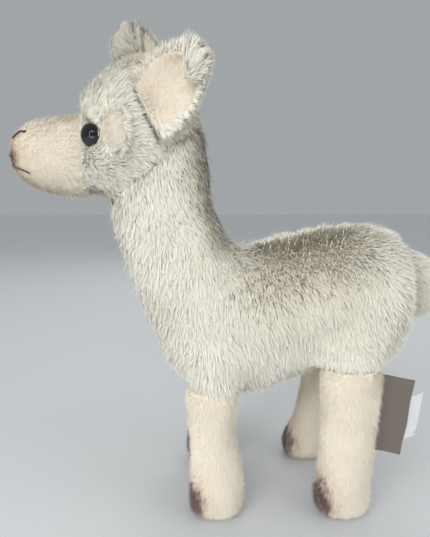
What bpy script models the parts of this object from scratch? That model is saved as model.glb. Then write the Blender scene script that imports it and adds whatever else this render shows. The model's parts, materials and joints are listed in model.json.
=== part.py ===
"""Plush alpaca, standing, about 300 mm to the ear tips.

Metres, +Z up. The animal faces -X, its left side is towards -Y and its soles
stand on z = 0. The origin lies on the floor under the middle of the toy. Each
stuffed section is one closed solid, skin and stuffing together, whose surface
is the mean surface of its pile.
"""

import math

import bmesh
import bpy
from mathutils import Matrix, Vector
from mathutils.bvhtree import BVHTree

# Clearance between two pieces that touch
GAP = 0.0003

# Heights and places of the body. Each X is measured from the breast line.
BACK_Z = 0.172
WITHERS_Z = 0.164
WITHERS_X = 0.032
BELLY_Z = 0.070
GROIN_Z = 0.089
RUMP_X = 0.1355
BODY_HALF_WIDTH = 0.044
CHEST_HALF_WIDTH = 0.039

# Neck
THROAT_X = -0.050
THROAT_Z = 0.191
POLL_X = 0.006
POLL_Z = 0.243
NECK_HALF_WIDTH = 0.0245

# Head and muzzle
HEAD_TOP_Z = 0.2745
HEAD_HALF_WIDTH = 0.0300
MUZZLE_SEAM_X = -0.0640
MUZZLE_SEAM_TOP_Z = 0.2430
MUZZLE_SEAM_LOW_Z = 0.1945
MUZZLE_SEAM_HALF_WIDTH = 0.0205
MUZZLE_LENGTH = 0.0440

# Safety eyes: a dome with a shank, held by a washer behind the fabric
EYE_X = -0.0560
EYE_Z = 0.2285
EYE_TOE_OUT = math.radians(54)
EYE_DIAMETER = 0.0135
EYE_DOME_HEIGHT = 0.0050
EYE_RECESS = 0.0012
SHANK_DIAMETER = 0.0042
SHANK_LENGTH = 0.0110
WASHER_DIAMETER = 0.0140
WASHER_THICKNESS = 0.0016
WASHER_DEPTH = 0.0050

# Short-pile patch behind each eye
PATCH_X = -0.0423
PATCH_Z = 0.2312
PATCH_HALF_LENGTH = 0.0068
PATCH_HALF_HEIGHT = 0.0110
PATCH_THICKNESS = 0.0016

# Embroidered thread of nostrils and mouth
THREAD_DIAMETER = 0.0016
MUZZLE_CENTRE_BACK = 0.0180
MUZZLE_CENTRE_Z = 0.2190
MOUTH_HALF_SWEEP = math.radians(76)
MOUTH_CENTRE_PITCH = math.radians(-18)
MOUTH_END_PITCH = math.radians(-32)

# Legs
FRONT_HALF_SPREAD = 0.0320
REAR_HALF_SPREAD = 0.0345
FRONT_LEG_X = 0.0140
REAR_LEG_X = 0.0970
FRONT_CUFF_Z = 0.0800
REAR_CUFF_Z = 0.0925
FRONT_CUFF_LENGTH = 0.0320
REAR_CUFF_LENGTH = 0.0400
CUFF_WIDTH = 0.0310
FRONT_FOOT_LENGTH = 0.0330
REAR_FOOT_LENGTH = 0.0360
FOOT_WIDTH = 0.0300
ANKLE_WIDTH = 0.0270
FRONT_ANKLE_LENGTH = 0.0285
REAR_ANKLE_LENGTH = 0.0345
FRONT_TOE = 0.0010
REAR_TOE = -0.0040
SOLE_INSET = 0.0040
FAR_FRONT_STRIDE = -0.0020
FAR_REAR_STRIDE = -0.0110
FAR_REAR_SET_BACK = 0.0050

# Ears: fur back and short-pile lining, rooted in slits of the head. A drop is
# measured from the top of the head, an inset from its widest side.
LEFT_EAR_X = -0.0215
LEFT_EAR_DROP = 0.0335
LEFT_EAR_INSET = 0.0035
RIGHT_EAR_X = -0.0205
RIGHT_EAR_DROP = 0.0105
RIGHT_EAR_INSET = 0.0105
EAR_LENGTH = 0.0465
EAR_WIDTH = 0.0300
EAR_FUR_THICKNESS = 0.0036
EAR_LINING_THICKNESS = 0.0015
EAR_CUP = 0.0045
EAR_FOLD_RADIUS = 0.0034
EAR_FLAP_LENGTH = 0.0110
EAR_FLAP_LEAN = 0.0035

# Tail
TAIL_TOP_Z = 0.1650
TAIL_LENGTH = 0.0450
TAIL_WIDTH = 0.0300
TAIL_THICKNESS = 0.0235

# Woven and printed labels, sewn into the seam behind the left rear leg
LABEL_WIDTH = 0.0165
LABEL_HEIGHT = 0.0480
LABEL_LAYER = 0.0005
LABEL_TOP_Z = 0.0880
LABEL_SEAM_DEPTH = 0.0025
LABEL_SLANT = 0.135
CARE_WIDTH = 0.0350
CARE_HEIGHT = 0.0280
CARE_THICKNESS = 0.0004
CARE_PITCH = 0.0016
LONG_CARE_DROP = 0.0170
SHORT_CARE_DROP = 0.0195
LONG_CARE_CURL = 0.0090
SHORT_CARE_CURL = 0.0130
LABEL_BOW = 0.0030

# The breast line stands this far in front of the origin, which is midway
# between the nose and the back of the tail.
NOSE_X = MUZZLE_SEAM_X - GAP - MUZZLE_LENGTH
TAIL_X = RUMP_X + GAP + TAIL_THICKNESS
DATUM_X = -(NOSE_X + TAIL_X) / 2

ROUND = 28
SIDE = {"left": -1, "right": 1}


def clear_scene():
    """Empty the scene, so that the script can run again."""
    for item in list(bpy.data.objects):
        bpy.data.objects.remove(item, do_unlink=True)


def material(name, colour, roughness, metallic=0.0):
    """Principled material with a linear base colour."""
    made = bpy.data.materials.new(name)
    made.use_nodes = True
    shader = made.node_tree.nodes["Principled BSDF"]
    shader.inputs["Base Color"].default_value = (*colour, 1.0)
    shader.inputs["Roughness"].default_value = roughness
    shader.inputs["Metallic"].default_value = metallic
    return made


def at(x, z, y=0.0):
    """A point from its place along the toy, its height and its side."""
    return Vector((DATUM_X + x, y, z))


def smooth(values, t):
    """Value of a Catmull-Rom curve through the list, t in list steps."""
    last = len(values) - 1
    i = min(int(t), last - 1)
    f = t - i
    p1, p2 = values[i], values[i + 1]
    p0 = values[i - 1] if i > 0 else p1 + (p1 - p2)
    p3 = values[i + 2] if i + 2 <= last else p2 + (p2 - p1)
    return 0.5 * (
        p1 * 2
        + (p2 - p0) * f
        + (p0 * 2 - p1 * 5 + p2 * 4 - p3) * f**2
        + (p1 * 3 - p0 - p2 * 3 + p3) * f**3
    )


class Loft:
    """Skin over stations of an upper point, a lower point and a half width.

    A section is an ellipse whose lower half is squared, from 0 for a plain
    ellipse upwards, by one value at the first station and one at the last.
    """

    def __init__(self, stations, steps=2, sides=ROUND, square=(0.0, 0.0)):
        self.upper = [s[0] for s in stations]
        self.lower = [s[1] for s in stations]
        self.width = [s[2] for s in stations]
        self.steps = steps
        self.sides = sides
        self.square = square

    def ring(self, t):
        """Closed section at station t."""
        top, low = smooth(self.upper, t), smooth(self.lower, t)
        half_width = smooth(self.width, t)
        centre, half = (top + low) / 2, (top - low) / 2
        first, last = self.square
        square = first + (last - first) * t / (len(self.upper) - 1)
        points = []
        for k in range(self.sides):
            a = 2 * math.pi * k / self.sides
            up, out = math.cos(a), math.sin(a)
            power = 1 - square if up < 0 else 1
            out = math.copysign(abs(out) ** power, out)
            points.append(centre + half * up + Vector((0, half_width * out, 0)))
        return points

    def fill(self, bm):
        """Add the closed skin to a mesh, with a flat face at each end."""
        count = (len(self.upper) - 1) * self.steps
        rings = [[bm.verts.new(p) for p in self.ring(k / self.steps)] for k in range(count + 1)]
        for a, b in zip(rings, rings[1:]):
            for k in range(self.sides):
                n = (k + 1) % self.sides
                bm.faces.new((a[k], a[n], b[n], b[k]))
        bm.faces.new(list(reversed(rings[0])))
        bm.faces.new(rings[-1])
        return bm


def make(name, bm, finish):
    """Turn a mesh into a named, outward-facing object."""
    bmesh.ops.recalc_face_normals(bm, faces=bm.faces)
    mesh = bpy.data.meshes.new(name)
    bm.to_mesh(mesh)
    bm.free()
    mesh.materials.append(finish)
    mesh.shade_smooth()
    mesh.set_sharp_from_angle(angle=math.radians(50))
    item = bpy.data.objects.new(name, mesh)
    bpy.context.collection.objects.link(item)
    return item


def loft_object(name, loft, finish):
    """Object of one loft."""
    return make(name, loft.fill(bmesh.new()), finish)


def guide(item):
    """Mark an object as a tool that isn't part of the toy."""
    item.hide_render = True
    item.display_type = "WIRE"
    return item


def boolean(item, tool, operation):
    """Add an exact Boolean of the tool to the object."""
    step = item.modifiers.new(operation.title(), "BOOLEAN")
    step.solver = "EXACT"
    step.operation = operation
    step.object = guide(tool)
    return item


def tree_of(loft):
    """Search tree of a loft's skin."""
    bm = loft.fill(bmesh.new())
    bmesh.ops.recalc_face_normals(bm, faces=bm.faces)
    tree = BVHTree.FromBMesh(bm)
    bm.free()
    return tree


def side_hit(tree, x, z, side):
    """Point and outward normal of a skin, seen from one side."""
    start = Vector((x, side * 0.2, z))
    place, normal, _, _ = tree.ray_cast(start, Vector((0, -side, 0)))
    return place, normal


def radial_hit(tree, centre, turn, pitch, side):
    """Point and normal of a skin in a direction from its inner centre."""
    level = math.cos(pitch)
    out = Vector((-math.cos(turn) * level, side * math.sin(turn) * level, math.sin(pitch)))
    place, normal, _, _ = tree.ray_cast(centre + out * 0.1, -out)
    return place, normal


def turned(name, profile, place, axis, finish):
    """Solid turned round an axis from (radius, distance along it) points."""
    bm = bmesh.new()
    verts = [bm.verts.new((r, 0, h)) for r, h in profile]
    edges = [bm.edges.new(pair) for pair in zip(verts, verts[1:])]
    bmesh.ops.spin(bm, geom=verts + edges, cent=(0, 0, 0), axis=(0, 0, 1), angle=2 * math.pi,
                   steps=24, use_merge=True, use_duplicate=False)
    bmesh.ops.remove_doubles(bm, verts=bm.verts, dist=1e-6)
    turn = Vector((0, 0, 1)).rotation_difference(axis).to_matrix().to_4x4()
    bmesh.ops.transform(bm, matrix=Matrix.Translation(place) @ turn, verts=bm.verts)
    return make(name, bm, finish)


def tube(name, points, radius, finish, sides=6):
    """Round thread along a list of points, with flat ends."""
    bm = bmesh.new()
    rings = []
    for k, point in enumerate(points):
        ahead = points[min(k + 1, len(points) - 1)] - points[max(k - 1, 0)]
        turn = Vector((0, 0, 1)).rotation_difference(ahead.normalized()).to_matrix()
        spokes = [turn @ Vector((math.cos(a), math.sin(a), 0)) * radius
                  for a in (2 * math.pi * j / sides for j in range(sides))]
        rings.append([bm.verts.new(point + s) for s in spokes])
    for a, b in zip(rings, rings[1:]):
        offset = min(range(sides), key=lambda s: (a[0].co - b[s].co).length)
        for j in range(sides):
            n = (j + 1) % sides
            bm.faces.new((a[j], a[n], b[(n + offset) % sides], b[(j + offset) % sides]))
        b[:] = b[offset:] + b[:offset]
    bm.faces.new(list(reversed(rings[0])))
    bm.faces.new(rings[-1])
    return make(name, bm, finish)


def slab(name, grid, low, high, finish):
    """Sheet between two offsets of a grid of points, along its own normals."""
    rows, columns = len(grid), len(grid[0])

    def normal(i, j):
        along = grid[min(i + 1, rows - 1)][j] - grid[max(i - 1, 0)][j]
        over = grid[i][min(j + 1, columns - 1)] - grid[i][max(j - 1, 0)]
        return along.cross(over).normalized()

    bm = bmesh.new()
    layers = [[[bm.verts.new(grid[i][j] + normal(i, j) * level) for j in range(columns)]
               for i in range(rows)] for level in (low, high)]
    under, over = layers
    for i in range(rows - 1):
        for j in range(columns - 1):
            bm.faces.new((over[i][j], over[i + 1][j], over[i + 1][j + 1], over[i][j + 1]))
            bm.faces.new((under[i][j], under[i][j + 1], under[i + 1][j + 1], under[i + 1][j]))
    rim = [(0, j) for j in range(columns)] + [(i, columns - 1) for i in range(1, rows)]
    rim += [(rows - 1, j) for j in reversed(range(columns - 1))] + [(i, 0) for i in reversed(range(1, rows - 1))]
    for (i, j), (m, n) in zip(rim, rim[1:] + rim[:1]):
        bm.faces.new((under[i][j], over[i][j], over[m][n], under[m][n]))
    return make(name, bm, finish)


def body_loft():
    """Trunk and neck: rings that fan round the withers from rump to poll."""
    w, c, n = BODY_HALF_WIDTH, CHEST_HALF_WIDTH, NECK_HALF_WIDTH
    neck_rise = POLL_Z - WITHERS_Z
    throat_rise = THROAT_Z - BELLY_Z
    return Loft([
        (at(RUMP_X, BACK_Z - 0.012), at(RUMP_X, GROIN_Z + 0.022), w * 0.50),
        (at(RUMP_X - 0.003, BACK_Z - 0.004), at(RUMP_X - 0.003, GROIN_Z + 0.010), w * 0.76),
        (at(RUMP_X - 0.011, BACK_Z + 0.002), at(RUMP_X - 0.010, GROIN_Z + 0.001), w * 0.94),
        (at(RUMP_X - 0.025, BACK_Z + 0.004), at(RUMP_X - 0.023, GROIN_Z - 0.002), w),
        (at(RUMP_X - 0.047, BACK_Z + 0.002), at(RUMP_X - 0.045, GROIN_Z - 0.002), w),
        (at(RUMP_X - 0.072, BACK_Z - 0.002), at(RUMP_X - 0.070, BELLY_Z + 0.007), w * 0.98),
        (at(WITHERS_X + 0.014, WITHERS_Z + 0.003), at(WITHERS_X + 0.012, BELLY_Z + 0.001), w * 0.97),
        (at(WITHERS_X, WITHERS_Z), at(WITHERS_X - 0.013, BELLY_Z), w * 0.95),
        (at(WITHERS_X - 0.008, WITHERS_Z + neck_rise * 0.09), at(-0.006, BELLY_Z + throat_rise * 0.05), c),
        (at(WITHERS_X - 0.014, WITHERS_Z + neck_rise * 0.22), at(-0.019, BELLY_Z + throat_rise * 0.23), c * 0.90),
        (at(WITHERS_X - 0.019, WITHERS_Z + neck_rise * 0.42), at(-0.0320, BELLY_Z + throat_rise * 0.46), n * 1.12),
        (at(POLL_X + 0.006, POLL_Z - neck_rise * 0.33), at(-0.0430, BELLY_Z + throat_rise * 0.70), n * 1.02),
        (at(POLL_X + 0.003, POLL_Z - neck_rise * 0.14), at(THROAT_X + 0.001, BELLY_Z + throat_rise * 0.88), n),
        (at(POLL_X, POLL_Z), at(THROAT_X, THROAT_Z), n * 1.02),
    ], square=(0.40, 0.15))


def head_loft(back_shift=0.0):
    """Head: rings that turn round the throat from the poll to the muzzle seam."""
    w = HEAD_HALF_WIDTH
    lift = (at(POLL_X, POLL_Z) - at(THROAT_X, THROAT_Z)).normalized()
    away = Vector((-lift.z, 0, lift.x)) * back_shift
    top = HEAD_TOP_Z
    jaw = MUZZLE_SEAM_LOW_Z
    return Loft([
        (at(POLL_X, POLL_Z) + away, at(THROAT_X, THROAT_Z) + away, NECK_HALF_WIDTH * 1.02),
        (at(POLL_X - 0.005, top - 0.016), at(THROAT_X - 0.001, THROAT_Z + 0.0020), w * 0.93),
        (at(POLL_X - 0.015, top - 0.005), at(THROAT_X - 0.003, THROAT_Z + 0.0030), w),
        (at(POLL_X - 0.030, top), at(THROAT_X - 0.005, jaw + 0.0005), w * 1.02),
        (at(POLL_X - 0.043, top - 0.001), at(THROAT_X - 0.007, jaw + 0.001), w * 0.99),
        (at(MUZZLE_SEAM_X + 0.0110, top - 0.007), at(MUZZLE_SEAM_X + 0.005, jaw + 0.001), w * 0.90),
        (at(MUZZLE_SEAM_X + 0.0020, top - 0.018), at(MUZZLE_SEAM_X + 0.002, jaw + 0.0005), w * 0.77),
        (at(MUZZLE_SEAM_X, MUZZLE_SEAM_TOP_Z), at(MUZZLE_SEAM_X, jaw), MUZZLE_SEAM_HALF_WIDTH),
    ], square=(0.15, 0.30))


def muzzle_loft():
    """Muzzle: rings from the seam to the blunt nose."""
    seam = NOSE_X + MUZZLE_LENGTH
    high, low, w = MUZZLE_SEAM_TOP_Z, MUZZLE_SEAM_LOW_Z, MUZZLE_SEAM_HALF_WIDTH
    reach = MUZZLE_LENGTH
    return Loft([
        (at(seam, high), at(seam, low), w),
        (at(seam - reach * 0.22, high - 0.0007), at(seam - reach * 0.22, low - 0.0008), w),
        (at(seam - reach * 0.48, high - 0.0018), at(seam - reach * 0.46, low + 0.0015), w * 0.99),
        (at(seam - reach * 0.70, high - 0.0034), at(seam - reach * 0.68, low + 0.0037), w * 0.93),
        (at(seam - reach * 0.87, high - 0.0080), at(seam - reach * 0.86, low + 0.0093), w * 0.76),
        (at(seam - reach * 0.97, high - 0.0148), at(seam - reach * 0.965, low + 0.0163), w * 0.46),
        (at(seam - reach, high - 0.0210), at(seam - reach, low + 0.0220), w * 0.20),
    ], sides=24, square=(0.30, 0.0))


def cuff_of(front, side):
    """Place along the toy, side, height and length of the seam of one leg."""
    if front:
        return FRONT_LEG_X, side * FRONT_HALF_SPREAD, FRONT_CUFF_Z, FRONT_CUFF_LENGTH
    set_back = FAR_REAR_SET_BACK if side > 0 else 0.0
    return REAR_LEG_X + set_back, side * REAR_HALF_SPREAD, REAR_CUFF_Z, REAR_CUFF_LENGTH


def leg_loft(front, side):
    """Leg: rings from the flat sole up to the cuff seam."""
    middle, y, cuff_z, cuff = cuff_of(front, side)
    cuff_z -= GAP
    ankle = FRONT_ANKLE_LENGTH if front else REAR_ANKLE_LENGTH
    foot = FRONT_FOOT_LENGTH if front else REAR_FOOT_LENGTH
    toe = FRONT_TOE if front else REAR_TOE
    far_stride = FAR_FRONT_STRIDE if front else FAR_REAR_STRIDE
    stride = far_stride if side > 0 else 0.0

    def station(z, length, width, share):
        place = middle + (toe + stride) * share
        return at(place + length / 2, z, y), at(place - length / 2, z, y), width / 2

    inset = 2 * SOLE_INSET
    return Loft([
        station(0.0, foot - inset, FOOT_WIDTH - inset, 1.0),
        station(0.0025, foot - inset * 0.35, FOOT_WIDTH - inset * 0.35, 1.0),
        station(0.0080, foot, FOOT_WIDTH, 1.0),
        station(0.0160, foot * 0.985, FOOT_WIDTH * 0.98, 0.95),
        station(0.0280, foot * 0.93, FOOT_WIDTH * 0.94, 0.60),
        station(cuff_z * 0.58, ankle, ANKLE_WIDTH, 0.15),
        station(cuff_z * 0.80, (ankle + cuff) / 2, (ANKLE_WIDTH + CUFF_WIDTH) / 2, 0.0),
        station(cuff_z, cuff, CUFF_WIDTH, 0.0),
    ], steps=1, sides=20)


def hip_loft(front, side):
    """Shoulder or haunch: from the cuff seam up into the trunk."""
    middle, y, cuff_z, cuff = cuff_of(front, side)
    reach = BACK_Z - 0.030 - cuff_z

    def station(share, growth, inward, width, back):
        z = cuff_z + reach * share
        place = middle + back
        return (at(place + cuff * growth / 2, z, y * inward),
                at(place - cuff * growth / 2, z, y * inward), width / 2)

    return Loft([
        station(0.0, 1.0, 1.0, CUFF_WIDTH, 0.0),
        station(0.12, 1.12, 0.98, CUFF_WIDTH * 1.03, 0.001),
        station(0.38, 1.24, 0.88, CUFF_WIDTH * 1.08, 0.002),
        station(0.68, 1.14, 0.56, CUFF_WIDTH * 1.08, 0.003),
        station(1.0, 0.70, 0.20, CUFF_WIDTH * 0.80, 0.004),
    ], steps=1, sides=20)


def build_trunk(fur):
    """Trunk with neck, four cuffs and a flat seat for the tail."""
    trunk = loft_object("torso", body_loft(), fur)
    for front in (True, False):
        for name, side in SIDE.items():
            place = ("shoulder" if front else "haunch") + "_" + name
            boolean(trunk, loft_object(place, hip_loft(front, side), fur), "UNION")
            boolean(trunk, cuff_cutter(front, side, name, fur), "DIFFERENCE")
    return trunk


def cuff_cutter(front, side, name, finish):
    """Room for the top of a leg, below its cuff seam."""
    middle, y, cuff_z, cuff = cuff_of(front, side)
    reach = cuff / 2 + 2 * GAP
    low_z = BELLY_Z - 0.004
    room = Loft([(at(middle + reach, z, y), at(middle - reach, z, y), CUFF_WIDTH / 2 + 2 * GAP)
                 for z in (low_z, cuff_z)], steps=1, sides=20)
    return loft_object(("front_" if front else "rear_") + "cuff_room_" + name, room, finish)


def build_legs(pile):
    """The four legs; the left rear one has a seam slit for its labels."""
    for name, side in SIDE.items():
        loft_object("leg_front_" + name, leg_loft(True, side), pile)
        rear = loft_object("leg_rear_" + name, leg_loft(False, side), pile)
        if name == "left":
            boolean(rear, label_slit(pile), "DIFFERENCE")


def build_eye(name, side, tree, gloss, washer_finish, fur):
    """Safety eye, its washer, and the cutter for both in the head."""
    place = side_hit(tree, at(EYE_X, EYE_Z).x, EYE_Z, side)[0]
    normal = Vector((-math.cos(EYE_TOE_OUT), side * math.sin(EYE_TOE_OUT), 0))
    seat = place - normal * EYE_RECESS
    dome, shank, washer = EYE_DIAMETER / 2, SHANK_DIAMETER / 2, WASHER_DIAMETER / 2
    arc = [(dome * math.cos(a), EYE_DOME_HEIGHT * math.sin(a))
           for a in (math.pi / 2 * k / 6 for k in range(6))]
    turned("eye_" + name, [(0, -SHANK_LENGTH), (shank, -SHANK_LENGTH), (shank, 0)] + arc
           + [(0, EYE_DOME_HEIGHT)], seat, normal, gloss)
    far, near = -WASHER_DEPTH - WASHER_THICKNESS, -WASHER_DEPTH
    bore = shank + GAP
    turned("eye_washer_" + name, [(bore, near), (bore, far), (washer, far), (washer, near), (bore, near)],
           seat, normal, washer_finish)
    hole = bore + GAP
    return turned("eye_room_" + name, [
        (0, -SHANK_LENGTH - GAP), (hole, -SHANK_LENGTH - GAP), (hole, far - GAP), (washer + GAP, far - GAP),
        (washer + GAP, near + GAP), (hole, near + GAP), (hole, -GAP), (dome + GAP, -GAP),
        (dome + GAP, EYE_DOME_HEIGHT * 2), (0, EYE_DOME_HEIGHT * 2)], seat, normal, fur)


def build_patch(name, side, tree, pile):
    """Oval short-pile patch that lies on the head behind the eye."""
    grid = []
    for k in range(5):
        share = k / 4
        row = []
        for j in range(13):
            a = math.pi * (j / 12)
            x = at(PATCH_X, 0).x + PATCH_HALF_LENGTH * math.cos(a)
            reach = PATCH_HALF_HEIGHT * math.sin(a) + 0.0004
            z = PATCH_Z + reach * (2 * share - 1)
            row.append(side_hit(tree, x, z, side)[0])
        grid.append(row)
    if side > 0:
        grid.reverse()
    slab("eye_patch_" + name, grid, GAP, GAP + PATCH_THICKNESS, pile)


def stitch_room(points, finish, name):
    """Groove that a thread lies in, a clearance wider than the thread."""
    ends = [points[0] * 2 - points[1], points[-1] * 2 - points[-2]]
    reach = GAP / (points[0] - points[1]).length
    first = points[0].lerp(ends[0], reach)
    last = points[-1].lerp(ends[1], reach)
    return tube(name, [first] + points[1:-1] + [last], THREAD_DIAMETER / 2 + GAP, finish)


def build_face(tree, muzzle, thread, pile):
    """Nostrils and mouth, each an embroidered thread in a groove."""
    centre = at(MUZZLE_SEAM_X - MUZZLE_LENGTH + MUZZLE_CENTRE_BACK, MUZZLE_CENTRE_Z)
    nostril = [(68, 38), (57, 40), (48, 36), (43, 27)]
    for name, side in SIDE.items():
        points = [radial_hit(tree, centre, math.radians(smooth([n[0] for n in nostril], t / 3)),
                             math.radians(smooth([n[1] for n in nostril], t / 3)), side)[0]
                  for t in range(10)]
        tube("nostril_" + name, points, THREAD_DIAMETER / 2, thread)
        boolean(muzzle, stitch_room(points, pile, "nostril_room_" + name), "DIFFERENCE")
    shares = [k / 8 for k in range(-8, 9)]
    drop = MOUTH_END_PITCH - MOUTH_CENTRE_PITCH
    points = [radial_hit(tree, centre, MOUTH_HALF_SWEEP * s, MOUTH_CENTRE_PITCH + drop * s * s, 1)[0]
              for s in shares]
    tube("mouth", points, THREAD_DIAMETER / 2, thread)
    boolean(muzzle, stitch_room(points, pile, "mouth_room"), "DIFFERENCE")


class Ear:
    """Leaf-shaped ear: where it is rooted, how it stands and its outline."""

    def __init__(self, root, axis, across, outline):
        self.root = root
        self.axis = axis.normalized()
        self.across = (across - self.axis * across.dot(self.axis)).normalized()
        self.normal = self.axis.cross(self.across)
        self.outline = outline

    def place(self, along, over, lift):
        """Point from shares of the ear's length and width, and its cupping."""
        return (self.root + self.axis * (along * EAR_LENGTH) + self.across * (over * EAR_WIDTH)
                - self.normal * (lift * EAR_CUP))

    def grid(self, columns=7):
        """Rows of points of the middle surface, from the root to the tip."""
        rows = []
        count = len(self.outline) - 1
        for k, ends in enumerate(self.outline):
            left, right = Vector(ends[:2]), Vector(ends[2:])
            row = []
            for j in range(columns):
                share = 2 * j / (columns - 1) - 1
                spot = left.lerp(right, (share + 1) / 2)
                depth = min(1.0, 0.25 + k / count)
                row.append(self.place(spot.x, spot.y, share * share * depth))
            rows.append(row)
        return rows + self.folded(rows[-1])

    def folded(self, edge):
        """Rows of the tip, turned over forwards round the last row."""
        line = (edge[-1] - edge[0]).normalized()
        ahead = (self.axis - line * self.axis.dot(line)).normalized()
        out = ahead.cross(line).normalized()
        middle = (edge[0] + edge[-1]) / 2
        rows = []
        for turn, run, share in ((30, 0, 1.0), (60, 0, 0.98), (90, 0, 0.95), (120, 0, 0.90), (150, 0, 0.85),
                                 (168, 0, 0.80), (168, 0.35, 0.66), (168, 0.7, 0.46), (168, 1.0, 0.22)):
            a = math.radians(turn)
            shift = (ahead * (EAR_FOLD_RADIUS * math.sin(a)) - out * (EAR_FOLD_RADIUS * (1 - math.cos(a)))
                     + (ahead * math.cos(a) - out * math.sin(a)) * (run * EAR_FLAP_LENGTH)
                     + line * (run * EAR_FLAP_LEAN))
            rows.append([middle + (p - middle) * share + shift for p in edge])
        return rows


def near_ear():
    """Left ear: laid back, its lining outwards and its tip folded forwards."""
    outline = [(0.16, -0.45, -0.15, 0.43), (0.28, -0.44, 0.04, 0.54), (0.41, -0.40, 0.22, 0.61),
               (0.52, -0.34, 0.41, 0.62), (0.62, -0.26, 0.57, 0.59), (0.71, -0.13, 0.70, 0.54),
               (0.76, 0.04, 0.78, 0.47)]
    root = at(LEFT_EAR_X, HEAD_TOP_Z - LEFT_EAR_DROP, LEFT_EAR_INSET - HEAD_HALF_WIDTH)
    return Ear(root, Vector((0.53, -0.20, 0.82)), Vector((0.80, -0.12, -0.58)), outline)


def far_ear():
    """Right ear: pinched at its root, raised and bent forwards."""
    outline = [(0.0, -0.13, 0.0, 0.13), (0.10, -0.25, 0.16, 0.15), (0.22, -0.40, 0.30, 0.30),
               (0.36, -0.43, 0.44, 0.46), (0.52, -0.40, 0.60, 0.54), (0.68, -0.36, 0.76, 0.49),
               (0.82, -0.30, 0.88, 0.38), (0.89, -0.22, 0.94, 0.26)]
    root = at(RIGHT_EAR_X, HEAD_TOP_Z - RIGHT_EAR_DROP, HEAD_HALF_WIDTH - RIGHT_EAR_INSET)
    return Ear(root, Vector((-0.47, 0.20, 0.86)), Vector((-0.84, 0.10, -0.48)), outline)


def build_ears(head, fur, pile):
    """Both ears, each a fur back and a lining, rooted in slits of the head."""
    fur_span = (0.0, EAR_FUR_THICKNESS)
    lining_span = (-GAP - EAR_LINING_THICKNESS, -GAP)
    for name, ear in (("left", near_ear()), ("right", far_ear())):
        grid = ear.grid()
        slab("ear_" + name, grid, *fur_span, fur)
        slab("ear_lining_" + name, grid, *lining_span, pile)
        boolean(head, ear_slit(name, grid, fur_span, lining_span, fur), "DIFFERENCE")


def ear_slit(name, grid, fur_span, lining_span, finish):
    """Slit in the head round the root of an ear, a clearance wider all round."""
    before = [p + (p - q) * (GAP / (p - q).length) for p, q in zip(grid[0], grid[1])]
    rows = []
    for row in [before] + grid[:3]:
        line = (row[-1] - row[0]).normalized() * GAP
        rows.append([row[0] - line] + row[1:-1] + [row[-1] + line])
    low = min(fur_span + lining_span) - GAP
    high = max(fur_span + lining_span) + GAP
    return slab("ear_slit_" + name, rows, low, high, finish)


def build_tail(fur):
    """Flat hanging tail on the flat end of the rump."""
    front = TAIL_X - TAIL_THICKNESS
    rows = [(0.0, 0.18, 0.30), (0.10, 0.42, 0.55), (0.28, 0.78, 0.85), (0.52, 0.97, 1.0),
            (0.76, 1.0, 0.95), (0.92, 0.82, 0.74), (1.0, 0.50, 0.42)]
    stations = []
    for share, thick, wide in rows:
        z = TAIL_TOP_Z - TAIL_LENGTH * share
        stations.append((at(front + TAIL_THICKNESS * thick, z), at(front, z), TAIL_WIDTH / 2 * wide))
    loft_object("tail", Loft(stations, sides=18), fur)


def seam_start():
    """Inner end of the labels at their top, inside the seam of the leg."""
    middle, y, _, cuff = cuff_of(False, SIDE["left"])
    return at(middle + cuff / 2 - LABEL_SEAM_DEPTH, LABEL_TOP_Z, y)


def slanted(point, z):
    """Point of a label at a height: the labels lean as the seam does."""
    return Vector((point.x + (z - LABEL_TOP_Z) * LABEL_SLANT, point.y, z))


def label_line(length, bend, points=9):
    """Level line of a label, from inside the seam outwards, softly bent."""
    start = seam_start()
    shares = [k / (points - 1) for k in range(points)]
    return [start + Vector((length * s, bend(s), 0)) for s in shares]


def sheet(name, line, low, high, thickness, finish):
    """Standing sheet over a level line, between two heights."""
    grid = [[slanted(p, z) for p in line] for z in (low, high)]
    return slab(name, grid, -thickness / 2, thickness / 2, finish)


def label_slit(finish):
    """Slit in the leg's rear seam that holds all the labels."""
    top, low = LABEL_TOP_Z + GAP, LABEL_TOP_Z - LABEL_HEIGHT - GAP
    start = seam_start()
    line = [start + Vector((x, 0, 0)) for x in (-GAP, LABEL_WIDTH)]
    return sheet("label_slit", line, low, top, 4 * CARE_PITCH, finish)


def build_labels(woven, printed):
    """Folded woven label, and two care leaves behind it."""
    near = -1.3 * CARE_PITCH
    out = label_line(LABEL_WIDTH + LABEL_SEAM_DEPTH, lambda s: near - LABEL_BOW * s * s)
    step = 2 * LABEL_LAYER + GAP
    back = [p + Vector((0, step, 0)) for p in reversed(out)]
    turn = out[-1] + Vector((step / 2, step / 2, 0))
    sheet("woven_label", out + [turn] + back, LABEL_TOP_Z - LABEL_HEIGHT, LABEL_TOP_Z, LABEL_LAYER, woven)
    curls = {"care_label_long": (LONG_CARE_DROP, 1.0, 0.6, LONG_CARE_CURL, 3),
             "care_label_short": (SHORT_CARE_DROP, 0.8, 1.4, SHORT_CARE_CURL, 2)}
    for name, (drop, share, layer, curl, power) in curls.items():
        top = LABEL_TOP_Z - drop
        line = label_line(CARE_WIDTH * share, lambda s: CARE_PITCH * layer + curl * s**power)
        sheet(name, line, top - CARE_HEIGHT, top, CARE_THICKNESS, printed)


def build_head(fur, pile, gloss, washer_finish, thread):
    """Head, muzzle, eyes, patches, face and ears."""
    loft = head_loft(back_shift=GAP)
    tree = tree_of(loft)
    head = loft_object("head", loft, fur)
    for name, side in SIDE.items():
        boolean(head, build_eye(name, side, tree, gloss, washer_finish, fur), "DIFFERENCE")
        build_patch(name, side, tree, pile)
    build_ears(head, fur, pile)
    muzzle_skin = muzzle_loft()
    muzzle = loft_object("muzzle", muzzle_skin, pile)
    build_face(tree_of(muzzle_skin), muzzle, thread, pile)


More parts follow.
